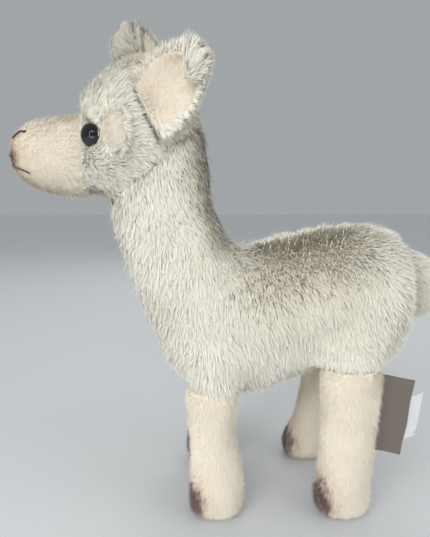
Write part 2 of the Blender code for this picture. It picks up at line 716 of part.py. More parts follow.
def main():
    """Build the whole toy."""
    clear_scene()
    fur = material("long_pile_plush", (0.62, 0.60, 0.54), 0.95)
    pile = material("short_pile_plush", (0.78, 0.71, 0.60), 0.95)
    gloss = material("black_eye_plastic", (0.008, 0.009, 0.011), 0.12)
    clear_plastic = material("washer_plastic", (0.70, 0.70, 0.68), 0.40)
    thread = material("brown_embroidery_thread", (0.035, 0.022, 0.018), 0.60)
    woven = material("taupe_woven_tape", (0.15, 0.125, 0.105), 0.80)
    printed = material("white_label_tape", (0.82, 0.83, 0.83), 0.55)
    build_trunk(fur)
    build_legs(pile)
    build_head(fur, pile, gloss, clear_plastic, thread)
    build_tail(fur)
    build_labels(woven, printed)


main()
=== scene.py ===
"""Looks of a standing plush alpaca, about 310 mm to its ear tips.

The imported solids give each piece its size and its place. Here each stuffed
section gets a sewn skin, swollen by its filling, and a pile of single fibres.
Metres, +Z up. The animal faces -X, and its left side is towards -Y.
"""

import itertools
import json
import logging
import math
from collections.abc import Callable, Sequence
from dataclasses import dataclass, field
from enum import Enum

import bmesh
import bpy
import numpy as np
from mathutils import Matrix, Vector
from mathutils.bvhtree import BVHTree
from mathutils.kdtree import KDTree

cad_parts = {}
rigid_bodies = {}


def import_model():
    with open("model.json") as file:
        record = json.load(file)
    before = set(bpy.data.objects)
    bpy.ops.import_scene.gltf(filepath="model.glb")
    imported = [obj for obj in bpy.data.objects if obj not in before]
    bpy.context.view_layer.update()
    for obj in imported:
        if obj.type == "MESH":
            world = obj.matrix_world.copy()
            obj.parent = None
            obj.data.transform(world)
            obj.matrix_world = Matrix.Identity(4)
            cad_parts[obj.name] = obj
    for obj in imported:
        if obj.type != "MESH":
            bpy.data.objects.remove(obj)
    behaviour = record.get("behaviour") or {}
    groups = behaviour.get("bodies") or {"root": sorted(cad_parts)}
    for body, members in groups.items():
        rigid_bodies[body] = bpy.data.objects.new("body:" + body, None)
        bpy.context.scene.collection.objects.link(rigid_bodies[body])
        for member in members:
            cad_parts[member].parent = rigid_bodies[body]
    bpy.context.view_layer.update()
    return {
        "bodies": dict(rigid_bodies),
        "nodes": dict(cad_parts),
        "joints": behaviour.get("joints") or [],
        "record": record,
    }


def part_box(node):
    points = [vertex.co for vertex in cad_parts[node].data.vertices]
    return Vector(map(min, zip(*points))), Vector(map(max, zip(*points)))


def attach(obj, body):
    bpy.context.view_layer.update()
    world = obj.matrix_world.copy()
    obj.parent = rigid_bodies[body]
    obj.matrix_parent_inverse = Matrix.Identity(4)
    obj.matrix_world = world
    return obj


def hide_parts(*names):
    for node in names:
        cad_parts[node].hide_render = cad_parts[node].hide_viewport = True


LOG = logging.getLogger("alpaca")

MM = 0.001
BODY = "root"
FIBRE_UV = "OFBake"

# Place of the breast along the toy, which the camera faces
BREAST_X = -0.0255

# How near another section has to be for a skin to close up to it, and how far
# the skin then rises
SEAM_REACH = 1.5 * MM
SEAM_RISE = 0.3 * MM

# Scale of a wave texture times the width of one of its bands, in metres: at
# scale 1 a light and a dark band together are 0.31 m wide
WAVE_SCALE = 1 / 6.3

# Distance between two lumps of uneven stuffing
LUMP = 16 * MM

# Cloth frames in which the filling swells a skin
SWELL_FRAMES = 20

# Lowest place of a fibre, just off the floor
FLOOR_GAP = 0.2 * MM

Array = np.ndarray
Field = Callable[[Array, Array], Array]


class Side(Enum):
    """The animal's own sides."""

    LEFT = -1
    RIGHT = 1

    @property
    def word(self) -> str:
        """Name of the side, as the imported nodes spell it."""
        return self.name.lower()


class End(Enum):
    """Ends of the animal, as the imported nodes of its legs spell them."""

    FRONT = "front"
    REAR = "rear"


class Slot(Enum):
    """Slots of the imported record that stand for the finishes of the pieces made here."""

    FUR = "long_pile_plush"
    PILE = "short_pile_plush"
    EYE = "black_eye_plastic"
    THREAD = "embroidery_thread"
    WOVEN = "woven_tape"
    PRINTED = "printed_tape"


def linear(code: str) -> tuple[float, float, float, float]:
    """Turn an sRGB hex colour into a linear one.

    Args:
        code: Six hex digits.

    Returns:
        Linear red, green, blue and an alpha of 1.
    """
    parts = [int(code[i:i + 2], 16) / 255 for i in (0, 2, 4)]
    made = [c / 12.92 if c <= 0.04045 else ((c + 0.055) / 1.055) ** 2.4 for c in parts]
    return (*made, 1.0)


def add_node(tree: bpy.types.NodeTree, kind: str, settings: dict | None = None,
             inputs: dict | None = None) -> bpy.types.Node:
    """Add a shader node with its settings and links.

    Args:
        tree: Node tree to add to.
        kind: Type of the node.
        settings: Attributes of the node.
        inputs: For each input, a value or the socket that feeds it.

    Returns:
        The new node.
    """
    node = tree.nodes.new(kind)
    for name, value in (settings or {}).items():
        setattr(node, name, value)
    for name, value in (inputs or {}).items():
        if isinstance(value, bpy.types.NodeSocket):
            tree.links.new(value, node.inputs[name])
        else:
            node.inputs[name].default_value = value
    return node


def ramp(tree: bpy.types.NodeTree, factor: bpy.types.NodeSocket,
         stops: Sequence[tuple[float, str]]) -> bpy.types.NodeSocket:
    """Colour ramp over a factor.

    Args:
        tree: Node tree to add to.
        factor: Socket from 0 to 1.
        stops: Places and sRGB hex colours.

    Returns:
        The ramp's colour socket.
    """
    node = add_node(tree, "ShaderNodeValToRGB", inputs={"Fac": factor})
    elements = node.color_ramp.elements
    for place, code in stops[1:-1]:
        elements.new(place).color = linear(code)
    elements[0].position, elements[0].color = stops[0][0], linear(stops[0][1])
    elements[-1].position, elements[-1].color = stops[-1][0], linear(stops[-1][1])
    return node.outputs["Color"]


def principled(name: str, roughness: float, sheen: float = 0.0, specular: float = 0.5,
               coat: float = 0.0) -> tuple[bpy.types.Material, bpy.types.NodeTree, bpy.types.Node]:
    """Start a material.

    Args:
        name: Name of the material.
        roughness: Roughness of the shader.
        sheen: Weight of the fibres' back-scattered sheen.
        specular: Specular level.
        coat: Weight of a clear coat.

    Returns:
        The material, its node tree and its shader.
    """
    made = bpy.data.materials.new(name)
    made.use_nodes = True
    tree = made.node_tree
    shader = tree.nodes["Principled BSDF"]
    shader.inputs["Roughness"].default_value = roughness
    shader.inputs["Sheen Weight"].default_value = sheen
    shader.inputs["Sheen Roughness"].default_value = 0.6
    shader.inputs["Specular IOR Level"].default_value = specular
    shader.inputs["Coat Weight"].default_value = coat
    return made, tree, shader


@dataclass(frozen=True)
class PlushFinish:
    """Knitted polyester plush, sheared or left long, seen as its fibres.

    A tone from 0, the palest fibre, to 1, the darkest, picks a colour for the
    root and one for the tip of each fibre.

    Attributes:
        name: What the plush is and how it was made.
        roots: Colours of the fibre roots over the tone.
        tips: Colours of the fibre tips over the tone.
        ground: Colours of the knitted ground between the fibres.
        nap: Length of one streak of the ground, in metres.
    """

    name: str
    roots: tuple[tuple[float, str], ...]
    tips: tuple[tuple[float, str], ...]
    ground: tuple[tuple[float, str], ...]
    nap: float

    def fibres(self) -> bpy.types.Material:
        """Material of the fibres: matt polyester, its colour along each fibre.

        Returns:
            The material.
        """
        made, tree, shader = principled(self.name + "_fibres", roughness=0.85, sheen=0.15, specular=0.15)
        uv = add_node(tree, "ShaderNodeUVMap", {"uv_map": FIBRE_UV})
        parts = add_node(tree, "ShaderNodeSeparateXYZ", inputs={"Vector": uv.outputs["UV"]})
        tone, along = parts.outputs["X"], parts.outputs["Y"]
        blend = add_node(tree, "ShaderNodeMapRange", {"interpolation_type": "SMOOTHSTEP"},
                         {"Value": along, "From Min": 0.1, "From Max": 0.9})
        colour = add_node(tree, "ShaderNodeMixRGB", inputs={
            "Fac": blend.outputs["Result"], "Color1": ramp(tree, tone, self.roots),
            "Color2": ramp(tree, tone, self.tips)})
        tree.links.new(colour.outputs["Color"], shader.inputs["Base Color"])
        return made

    def backing(self) -> bpy.types.Material:
        """Material of the skin under the fibres: matt, streaked as combed pile.

        Returns:
            The material.
        """
        made, tree, shader = principled(self.name + "_ground", roughness=0.95, sheen=0.1, specular=0.1)
        tone = add_node(tree, "ShaderNodeAttribute", {"attribute_name": "tone"})
        place = add_node(tree, "ShaderNodeTexCoord")
        stretch = add_node(tree, "ShaderNodeMapping", inputs={
            "Vector": place.outputs["Object"], "Scale": (1.0, 1.0, 0.3)})
        streaks = add_node(tree, "ShaderNodeTexNoise", inputs={
            "Vector": stretch.outputs["Vector"], "Scale": 1 / self.nap, "Detail": 4.0})
        shift = add_node(tree, "ShaderNodeMath", {"operation": "MULTIPLY_ADD"})
        shift.inputs[1].default_value = 0.25
        tree.links.new(streaks.outputs["Fac"], shift.inputs[0])
        tree.links.new(tone.outputs["Fac"], shift.inputs[2])
        tree.links.new(ramp(tree, shift.outputs[0], self.ground), shader.inputs["Base Color"])
        bump = add_node(tree, "ShaderNodeBump", inputs={
            "Height": streaks.outputs["Fac"], "Strength": 0.6, "Distance": 0.6 * MM})
        tree.links.new(bump.outputs["Normal"], shader.inputs["Normal"])
        return made


# Long pile: ivory-grey polyester fur, left unsheared and combed, whose tips are
# printed dark along the back. The eye sees pale streaks with dark flecks.
FUR = PlushFinish(
    name="combed_polyester_fur",
    roots=((0.0, "e7e3d5"), (0.35, "d3ccb9"), (0.6, "bbb6a6"), (0.8, "a29c8c"), (1.0, "8c8574")),
    tips=((0.0, "eceae0"), (0.35, "dcd6c6"), (0.6, "b4b0a5"), (0.8, "7f7a6e"), (1.0, "544e45")),
    ground=((0.0, "e2decf"), (0.45, "d2ccbd"), (1.0, "a39d8f")),
    nap=2.2 * MM,
)

# Short pile: sheared cream polyester plush, airbrushed after sewing at the
# hooves and the nose. The eye sees a soft even surface with a faint grain.
PILE = PlushFinish(
    name="sheared_cream_plush",
    roots=((0.0, "eee6d4"), (0.35, "e2d6c3"), (0.55, "cbb4a4"), (0.8, "7f6d67"), (1.0, "4f403b")),
    tips=((0.0, "f7f1e3"), (0.35, "ebe0ce"), (0.55, "d4bfaf"), (0.8, "897570"), (1.0, "5a4944")),
    ground=((0.0, "ece3d1"), (0.45, "d9ccb8"), (0.8, "7a6862"), (1.0, "4f403b")),
    nap=1.0 * MM,
)


@dataclass(frozen=True)
class EyePlastic:
    """Moulded black polystyrene: a near-mirror dome with one bright highlight."""

    colour: str = "07080a"
    roughness: float = 0.06

    def material(self) -> bpy.types.Material:
        """Material of the eye.

        Returns:
            The material.
        """
        made, _, shader = principled("moulded_black_polystyrene", self.roughness, specular=0.5, coat=0.4)
        shader.inputs["Base Color"].default_value = linear(self.colour)
        shader.inputs["Coat Roughness"].default_value = 0.03
        return made


@dataclass(frozen=True)
class EmbroideryThread:
    """Twisted polyester thread: dark, with a faint line of light along each ply.

    Attributes:
        colour: sRGB colour of the thread.
        ply: Width of one ply, in metres.
    """

    colour: str = "33231f"
    ply: float = 0.45 * MM

    def material(self) -> bpy.types.Material:
        """Material of the thread.

        Returns:
            The material.
        """
        made, tree, shader = principled("twisted_polyester_thread", 0.55, sheen=0.3, specular=0.35)
        place = add_node(tree, "ShaderNodeTexCoord")
        plies = add_node(tree, "ShaderNodeTexWave", {"bands_direction": "DIAGONAL"}, {
            "Vector": place.outputs["Object"], "Scale": WAVE_SCALE / self.ply, "Distortion": 1.0})
        bump = add_node(tree, "ShaderNodeBump", inputs={
            "Height": plies.outputs["Fac"], "Strength": 0.5, "Distance": 0.2 * MM})
        tree.links.new(bump.outputs["Normal"], shader.inputs["Normal"])
        shader.inputs["Base Color"].default_value = linear(self.colour)
        return made


@dataclass(frozen=True)
class LabelTape:
    """Narrow woven polyester tape, cut hot from the roll.

    Attributes:
        name: What the tape is and how it was made.
        light: sRGB colour of the raised threads.
        dark: sRGB colour between the threads.
        thread: Distance between two weft threads, in metres. The real one is
            finer: it is drawn as coarse as it needs to show.
        depth: Height of the weave, in metres.
        roughness: Roughness of the shader.
    """

    name: str
    light: str
    dark: str
    thread: float
    depth: float
    roughness: float

    def material(self) -> bpy.types.Material:
        """Material of the tape: fine level ribs with crossing warp threads.

        Returns:
            The material.
        """
        made, tree, shader = principled(self.name, self.roughness, sheen=0.2, specular=0.3)
        place = add_node(tree, "ShaderNodeTexCoord")
        bands = [add_node(tree, "ShaderNodeTexWave", {"bands_direction": axis}, {
            "Vector": place.outputs["Object"], "Scale": WAVE_SCALE / self.thread, "Distortion": 0.4,
            "Detail": 1.0}) for axis in ("X", "Z")]
        weave = add_node(tree, "ShaderNodeMath", {"operation": "MULTIPLY"})
        for socket, band in zip(weave.inputs, bands):
            tree.links.new(band.outputs["Fac"], socket)
        tree.links.new(ramp(tree, weave.outputs[0], ((0.0, self.dark), (0.7, self.light))),
                       shader.inputs["Base Color"])
        bump = add_node(tree, "ShaderNodeBump", inputs={
            "Height": weave.outputs[0], "Strength": 0.5, "Distance": self.depth})
        tree.links.new(bump.outputs["Normal"], shader.inputs["Normal"])
        return made


WOVEN = LabelTape("damask_woven_taupe_tape", "6f6760", "686059", 0.3 * MM, 0.05 * MM, 0.7)
PRINTED = LabelTape("white_polyester_satin_tape", "f0f1f1", "dcdedf", 0.5 * MM, 0.05 * MM, 0.45)


def unit(vectors: Array) -> Array:
    """Scale each row to length 1."""
    return vectors / np.maximum(np.linalg.norm(vectors, axis=-1, keepdims=True), 1e-12)


def dots(a: Array, b: Array) -> Array:
    """Dot product of each pair of rows, as a column."""
    return np.sum(a * b, axis=-1, keepdims=True)


def step(values: Array, low: float, high: float) -> Array:
    """Smooth rise from 0 at low to 1 at high, or a fall where low is above high."""
    t = np.clip((values - low) / (high - low), 0.0, 1.0)
    return t * t * (3 - 2 * t)


def band(values: Array, low: float, full: float, still: float, high: float) -> Array:
    """Smooth rise from low to full and fall from still to high."""
    return step(values, low, full) * step(values, high, still)


def spot(places: Array, centre: Sequence[float | None], radius: float | Sequence[float]) -> Array:
    """Soft round spot: 1 at its centre, fading to about 0 at its radius.

    Args:
        places: Points, one a row.
        centre: Its x, y and z; None where the spot runs right through.
        radius: One radius, or one for each axis.

    Returns:
        A value for each point.
    """
    reach = (radius,) * 3 if isinstance(radius, float) else radius
    total = np.zeros(len(places))
    for axis, middle in enumerate(centre):
        if middle is not None:
            total += ((places[:, axis] - middle) / reach[axis]) ** 2
    return np.exp(-2.5 * total)


def stroke(places: Array, line: Sequence[tuple[float, float]], reach: float) -> Array:
    """Soft stroke along a line drawn from the side: 1 on it, fading to 0.

    Args:
        places: Points, one a row.
        line: x and z of the line's points.
        reach: Distance at which the stroke has nearly gone, in metres.

    Returns:
        A value for each point.
    """
    flat = places[:, [0, 2]]
    nearest = np.full(len(places), 1.0)
    for a, b in zip(np.array(line), np.array(line)[1:]):
        share = np.clip((flat - a) @ (b - a) / ((b - a) @ (b - a)), 0.0, 1.0)
        nearest = np.minimum(nearest, np.linalg.norm(flat - a - share[:, None] * (b - a), axis=1))
    return np.exp(-2.5 * (nearest / reach) ** 2)


# Vectors of the smooth random field, the primes that pick one for each cell,
# and the cells between the fields of two seeds
WANDER_TABLE = np.random.default_rng(11).uniform(-1, 1, (4096, 3))
WANDER_PRIMES = (73856093, 19349663, 83492791)
WANDER_SHIFT = 17.3


def wander(places: Array, cell: float, seed: int = 0) -> Array:
    """Smooth random vectors, each part from -1 to 1.

    Args:
        places: Points, one a row.
        cell: Distance over which the vectors change, in metres.
        seed: Picks one of many such fields.

    Returns:
        A vector for each point.
    """
    spots = places / cell + seed * WANDER_SHIFT
    base = np.floor(spots).astype(np.int64)
    share = spots - base
    share = share * share * (3 - 2 * share)
    total = np.zeros_like(places)
    for corner in itertools.product((0, 1), repeat=3):
        keys = (base + np.array(corner)) * np.array(WANDER_PRIMES)
        index = (keys[:, 0] ^ keys[:, 1] ^ keys[:, 2]) % len(WANDER_TABLE)
        weight = np.prod(np.where(corner, share, 1 - share), axis=1, keepdims=True)
        total += weight * WANDER_TABLE[index]
    return total


def link(name: str, mesh: bpy.types.Mesh, finish: bpy.types.Material) -> bpy.types.Object:
    """Put a mesh in the scene as a piece of the toy, and report it.

    Args:
        name: Name of the piece.
        mesh: Its mesh, in place.
        finish: Its material.

    Returns:
        The piece.
    """
    mesh.materials.clear()
    mesh.materials.append(finish)
    piece = bpy.data.objects.new(name, mesh)
    bpy.context.scene.collection.objects.link(piece)
    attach(piece, BODY)
    LOG.info("%s: %d faces", name, len(mesh.polygons))
    return piece


def applied(item: bpy.types.Object, name: str) -> bpy.types.Mesh:
    """Mesh of an object with its modifiers applied.

    Args:
        item: Object with modifiers.
        name: Name of the new mesh.

    Returns:
        A mesh of its own.
    """
    depsgraph = bpy.context.evaluated_depsgraph_get()
    made = bpy.data.meshes.new_from_object(item.evaluated_get(depsgraph))
    made.name = name
    return made


@dataclass
class Surface:
    """Triangles of a mesh, to root fibres on and to measure from."""

    points: Array
    normals: Array
    triangles: Array

    @classmethod
    def of(cls, mesh: bpy.types.Mesh) -> "Surface":
        """Read a mesh.

        Args:
            mesh: The mesh.

        Returns:
            Its points, normals and triangles.
        """
        mesh.calc_loop_triangles()
        points = np.empty(len(mesh.vertices) * 3, np.float32)
        normals = np.empty_like(points)
        triangles = np.empty(len(mesh.loop_triangles) * 3, np.int32)
        mesh.vertices.foreach_get("co", points)
        mesh.vertices.foreach_get("normal", normals)
        mesh.loop_triangles.foreach_get("vertices", triangles)
        return cls(points.reshape(-1, 3).astype(float), normals.reshape(-1, 3).astype(float),
                   triangles.reshape(-1, 3))

    def tree(self) -> BVHTree:
        """Search tree of the triangles."""
        return BVHTree.FromPolygons(self.points.tolist(), self.triangles.tolist())

    def areas(self) -> Array:
        """Area of each triangle."""
        a, b, c = (self.points[self.triangles[:, k]] for k in range(3))
        return 0.5 * np.linalg.norm(np.cross(b - a, c - a), axis=1)

    def scatter(self, count: int, rng: np.random.Generator) -> tuple[Array, Array]:
        """Spread places evenly over the surface.

        Args:
            count: How many.
            rng: Random numbers.

        Returns:
            The places and the smooth normals there.
        """
        corners = self.points[self.triangles]
        total = np.cumsum(self.areas())
        marks = (np.arange(count) + rng.random(count)) / count * total[-1]
        pick = np.minimum(np.searchsorted(total, marks), len(total) - 1)
        a, b = np.sqrt(rng.random(count)), rng.random(count)
        shares = np.stack([1 - a, a * (1 - b), a * b], axis=1)[:, :, None]
        places = np.sum(corners[pick] * shares, axis=1)
        return places, unit(np.sum(self.normals[self.triangles[pick]] * shares, axis=1))


class Neighbours:
    """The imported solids, to find what one of them covers of another."""

    # Labels hang clear of the pile, washers lie inside the head, and stitches
    # lie in their grooves: none of them covers a place where pile grows
    ASIDE = ("woven_label", "care_label_long", "care_label_short", "eye_washer_left", "eye_washer_right",
             "nostril_left", "nostril_right", "mouth")

    def __init__(self, nodes: dict[str, bpy.types.Object]) -> None:
        """Read the solids of these nodes."""
        self.surfaces = {name: Surface.of(item.data) for name, item in nodes.items()
                         if name not in self.ASIDE}

    def tree_without(self, *names: str) -> BVHTree:
        """Search tree of all the solids but the named ones.

        Args:
            names: Nodes that are left out.

        Returns:
            The search tree.
        """
        points: list = []
        faces: list = []
        for name, surface in self.surfaces.items():
            if name not in names:
                faces += (surface.triangles + len(points)).tolist()
                points += surface.points.tolist()
        return BVHTree.FromPolygons(points, faces)


def covered(tree: BVHTree, places: Array, normals: Array, reach: float, start: float = 0.5 * MM) -> Array:
    """Find the places that have something right in front of them.

    Args:
        tree: Search tree of what may cover.
        places: Points, one a row.
        normals: Outward directions there.
        reach: How far in front to look, in metres.
        start: How far behind each place the look starts.

    Returns:
        True for each covered place.
    """
    origins = places - normals * start
    return np.array([tree.ray_cast(Vector(o), Vector(n), reach + start)[0] is not None
                     for o, n in zip(origins, normals)])


@dataclass(frozen=True)
class Filling:
    """How a section is stuffed: its skin is remeshed, smoothed and swollen.

    Attributes:
        voxel: Grid of the remeshed skin, in metres.
        rounds: Rounds of smoothing, which soften the solid's edges.
        inset: Depth of the knitted ground under the mean surface of the pile.
        pressure: Pressure of the filling on the cloth; 0 for a flat piece.
        cap: How far the filling may move a point of the cloth.
        fill: How tight the section is, for the record.
        lumps: Height of the uneven stuffing, in metres.
        finer: Levels of subdivision.
    """

    voxel: float
    rounds: int
    inset: float
    pressure: float = 0.0
    cap: float = 1.2 * MM
    fill: float = 0.85
    lumps: float = 0.0
    finer: int = 1


def swollen(item: bpy.types.Object, filling: Filling) -> None:
    """Run the cloth of a closed skin under the pressure of its filling.

    Args:
        item: Skin, changed in place.
        filling: Pressure and cap.
    """
    before = Surface.of(item.data).points
    cloth = item.modifiers.new("Cloth", "CLOTH")
    cloth.settings.use_pressure = True
    cloth.settings.uniform_pressure_force = filling.pressure
    cloth.settings.effector_weights.gravity = 0.0
    cloth.settings.quality = 4
    cloth.point_cache.frame_start, cloth.point_cache.frame_end = 1, SWELL_FRAMES
    for frame in range(1, SWELL_FRAMES + 1):
        bpy.context.scene.frame_set(frame)
    after = Surface.of(applied(item, item.name + "_swollen")).points
    item.modifiers.remove(cloth)
    bpy.context.scene.frame_set(1)
    move = after - before
    size = np.linalg.norm(move, axis=1, keepdims=True)
    move *= np.minimum(1.0, filling.cap / np.maximum(size, 1e-9))
    item.data.vertices.foreach_set("co", (before + move).astype(np.float32).ravel())
    item.data.update()


def sewn_skin(name: str, node: bpy.types.Object, filling: Filling, neighbours: BVHTree,
              shape: Field) -> bpy.types.Mesh:
    """Knitted skin of a stuffed section, from its solid.

    The skin lies under the mean surface of the pile, except where the section
    meets another, where it closes up to it.

    Args:
        name: Name of the skin.
        node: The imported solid.
        filling: How it is stuffed.
        neighbours: Search tree of the other solids.
        shape: Further move of each point, by place and normal.

    Returns:
        The closed mesh of the skin.
    """
    mesh = node.data.copy()
    bm = bmesh.new()
    bm.from_mesh(mesh)
    bmesh.ops.remove_doubles(bm, verts=bm.verts, dist=0.01 * MM)
    bm.to_mesh(mesh)
    bm.free()
    rough = bpy.data.objects.new(name + "_rough", mesh)
    bpy.context.scene.collection.objects.link(rough)
    remesh = rough.modifiers.new("Remesh", "REMESH")
    remesh.mode = "VOXEL"
    remesh.voxel_size = filling.voxel
    soften = rough.modifiers.new("Smooth", "SMOOTH")
    soften.factor = 0.5
    soften.iterations = filling.rounds
    rough.data = applied(rough, name)
    rough.modifiers.clear()
    if filling.pressure:
        swollen(rough, filling)
    finer = rough.modifiers.new("Subdivision", "SUBSURF")
    finer.levels = finer.render_levels = filling.finer
    made = applied(rough, name)
    bpy.data.objects.remove(rough)
    surface = Surface.of(made)
    meets = covered(neighbours, surface.points, surface.normals, SEAM_REACH, start=1.0 * MM)
    depth = np.where(meets, -SEAM_RISE, filling.inset)
    uneven = wander(surface.points, LUMP, 3)[:, :1] * filling.lumps * ~meets[:, None]
    moved = surface.points - surface.normals * (depth[:, None] - uneven)
    moved += shape(surface.points, surface.normals) * ~meets[:, None]
    made.vertices.foreach_set("co", moved.astype(np.float32).ravel())
    made.shade_smooth()
    made.update()
    return made


def tone_skin(mesh: bpy.types.Mesh, shade: Field) -> None:
    """Store the tone of each point of a skin, for its material.

    Args:
        mesh: The skin.
        shade: Tone for places and normals.
    """
    surface = Surface.of(mesh)
    tones = shade(surface.points, surface.normals)
    attribute = mesh.attributes.new("tone", "FLOAT", "POINT")
    attribute.data.foreach_set("value", np.clip(tones, 0, 1).astype(np.float32))


@dataclass(frozen=True)
class Fibre:
    """Sizes and set of the fibres of one coat.

    A drawn fibre is a flat lock that stands for several real ones, which are
    too fine to show. It is a leaf, widest at its bend, or a plain point.

    Attributes:
        length: Length, in metres.
        width: Width where it is widest, in metres.
        rise: Angle between skin and root, in degrees.
        droop: Angle between skin and tip, in degrees.
        stray: Random turn from the combed direction, in degrees.
        spread: Random share of the length.
        tuft: Distance between two tufts, in metres.
        gather: How far a tuft's tips close up, from 0 to 1.
        bent: Whether the lock has a bend in its middle.
        fuzz: Share of fibres that stand clear of the others.
    """

    length: float
    width: float
    rise: float
    droop: float
    stray: float
    spread: float = 0.3
    tuft: float = 3.0 * MM
    gather: float = 0.45
    bent: bool = True
    fuzz: float = 0.0


@dataclass
class Coat:
    """A coat of fibres on a skin, and how it lies, by place and normal.

    Attributes:
        fibre: Sizes of its fibres.
        comb: Direction in which the fibres lie.
        shade: Tone of the fibres.
        flecks: Share of dark-tipped fibres.
        growth: Length as a share of the full one.
        lift: Degrees added to the angles of the fibre.
    """

    # Depth of the roots under the skin, and shortest fibre that is worth
    # growing, as a share of the full one
    ROOT_DEPTH = 0.3 * MM
    SHORTEST = 0.05

    # Tufts over which the coat drifts from one lie and tone to the next
    DRIFT = 6

    # Turn of the fibres, as shares of their stray: one for each fibre, and one
    # that drifts
    TURN_SPREAD, TURN_DRIFT = 0.6, 1.2

    # Degrees that the fibres stand up: one for each fibre, one that drifts, and
    # one for the fuzz
    LIFT_SPREAD, LIFT_DRIFT, LIFT_FUZZ = 5, 6, 38

    # Tone: one for each fibre, one that drifts, and the range of the dark tips
    TONE_SPREAD, TONE_DRIFT = 0.06, 0.05
    DARK_TONES = (0.70, 1.0)

    # Widths of the locks, as shares of the fibre's
    WIDTHS = (0.7, 1.2)

    fibre: Fibre
    comb: Field
    shade: Field
    flecks: Field = field(default=lambda p, n: np.zeros(len(p)))
    growth: Field = field(default=lambda p, n: np.ones(len(p)))
    lift: Field = field(default=lambda p, n: np.zeros(len(p)))

    def grow(self, name: str, surface: Surface, count: int, seed: int,
             keep: Callable[[Array, Array], Array]) -> bpy.types.Mesh:
        """Make the mesh of the coat.

        Args:
            name: Name of the mesh.
            surface: Skin that it grows on.
            count: How many fibres, before those that keep leaves out.
            seed: Seed of its random numbers.
            keep: Which roots may grow.

        Returns:
            The mesh of all the fibres.
        """
        rng = np.random.default_rng(seed)
        fibre = self.fibre
        roots, normals = surface.scatter(count, rng)
        grown = self.growth(roots, normals)
        chosen = keep(roots, normals) & (grown > self.SHORTEST)
        roots, normals, grown = roots[chosen], normals[chosen], grown[chosen]
        number = len(roots)
        # Combed direction in the skin, turned a little from tuft to tuft
        flow = self.comb(roots, normals)
        flow = unit(flow - normals * dots(flow, normals))
        drift = wander(roots, self.DRIFT * fibre.tuft, seed)
        turn = np.radians(fibre.stray) * (rng.normal(0, self.TURN_SPREAD, number)
                                          + self.TURN_DRIFT * drift[:, 0])
        aside = np.cross(normals, flow)
        flow = flow * np.cos(turn)[:, None] + aside * np.sin(turn)[:, None]
        # Root, bend and tip of each fibre
        length = fibre.length * grown * (1 + fibre.spread * rng.uniform(-1, 1, number))
        lift = self.lift(roots, normals) + self.LIFT_DRIFT * drift[:, 1]
        lift = lift + rng.normal(0, self.LIFT_SPREAD, number)
        lift += self.LIFT_FUZZ * (rng.random(number) < fibre.fuzz)
        pull = self.gathered(surface, roots, number, rng)
        points = [roots - normals * self.ROOT_DEPTH]
        for angle, share in ((fibre.rise, 0.5), (fibre.droop, 0.5)):
            a = np.radians(np.clip(angle + lift, 2, 88))[:, None]
            run = (flow * np.cos(a) + normals * np.sin(a)) * (length * share)[:, None]
            points.append(points[-1] + run + pull * (length * share / fibre.length)[:, None])
        # Tone, with some fibres tipped dark
        tone = self.shade(roots, normals) + self.TONE_DRIFT * drift[:, 2]
        tone = tone + rng.normal(0, self.TONE_SPREAD, number)
        dark = rng.random(number) < self.flecks(roots, normals)
        tone = np.where(dark, rng.uniform(*self.DARK_TONES, number), np.clip(tone, 0.0, 1.0))
        # Face of each flat lock, turned out to the side from which it is seen
        tilt = rng.uniform(-0.5, 0.5, number)[:, None]
        across = unit(np.cross(flow, normals) + normals * tilt)
        outside = normals + np.sign(roots[:, 1:2]) * np.array([[0.0, 0.6, 0.0]])
        face = unit(np.cross(across, points[-1] - points[0]))
        turned = np.where(dots(face, outside) < 0, -1.0, 1.0)
        across, face = across * turned, face * turned
        shine = unit(normals * 0.7 + face * 0.6)
        width = fibre.width * rng.uniform(*self.WIDTHS, number)[:, None]
        return ribbons(name, points, across * width, shine, tone, fibre.bent)

    def gathered(self, surface: Surface, roots: Array, number: int, rng: np.random.Generator) -> Array:
        """Pull of each fibre's tip towards the middle of its tuft.

        Args:
            surface: Skin that the coat grows on.
            roots: Roots of the fibres.
            number: How many fibres.
            rng: Random numbers.

        Returns:
            A vector for each fibre.
        """
        if self.fibre.gather <= 0:
            return np.zeros((number, 3))
        tufts = max(4, int(surface.areas().sum() / self.fibre.tuft**2))
        middles = surface.scatter(tufts, rng)[0]
        tree = KDTree(len(middles))
        for index, middle in enumerate(middles):
            tree.insert(middle, index)
        tree.balance()
        nearest = np.array([tree.find(root)[1] for root in roots])
        return (middles[nearest] - roots) * self.fibre.gather


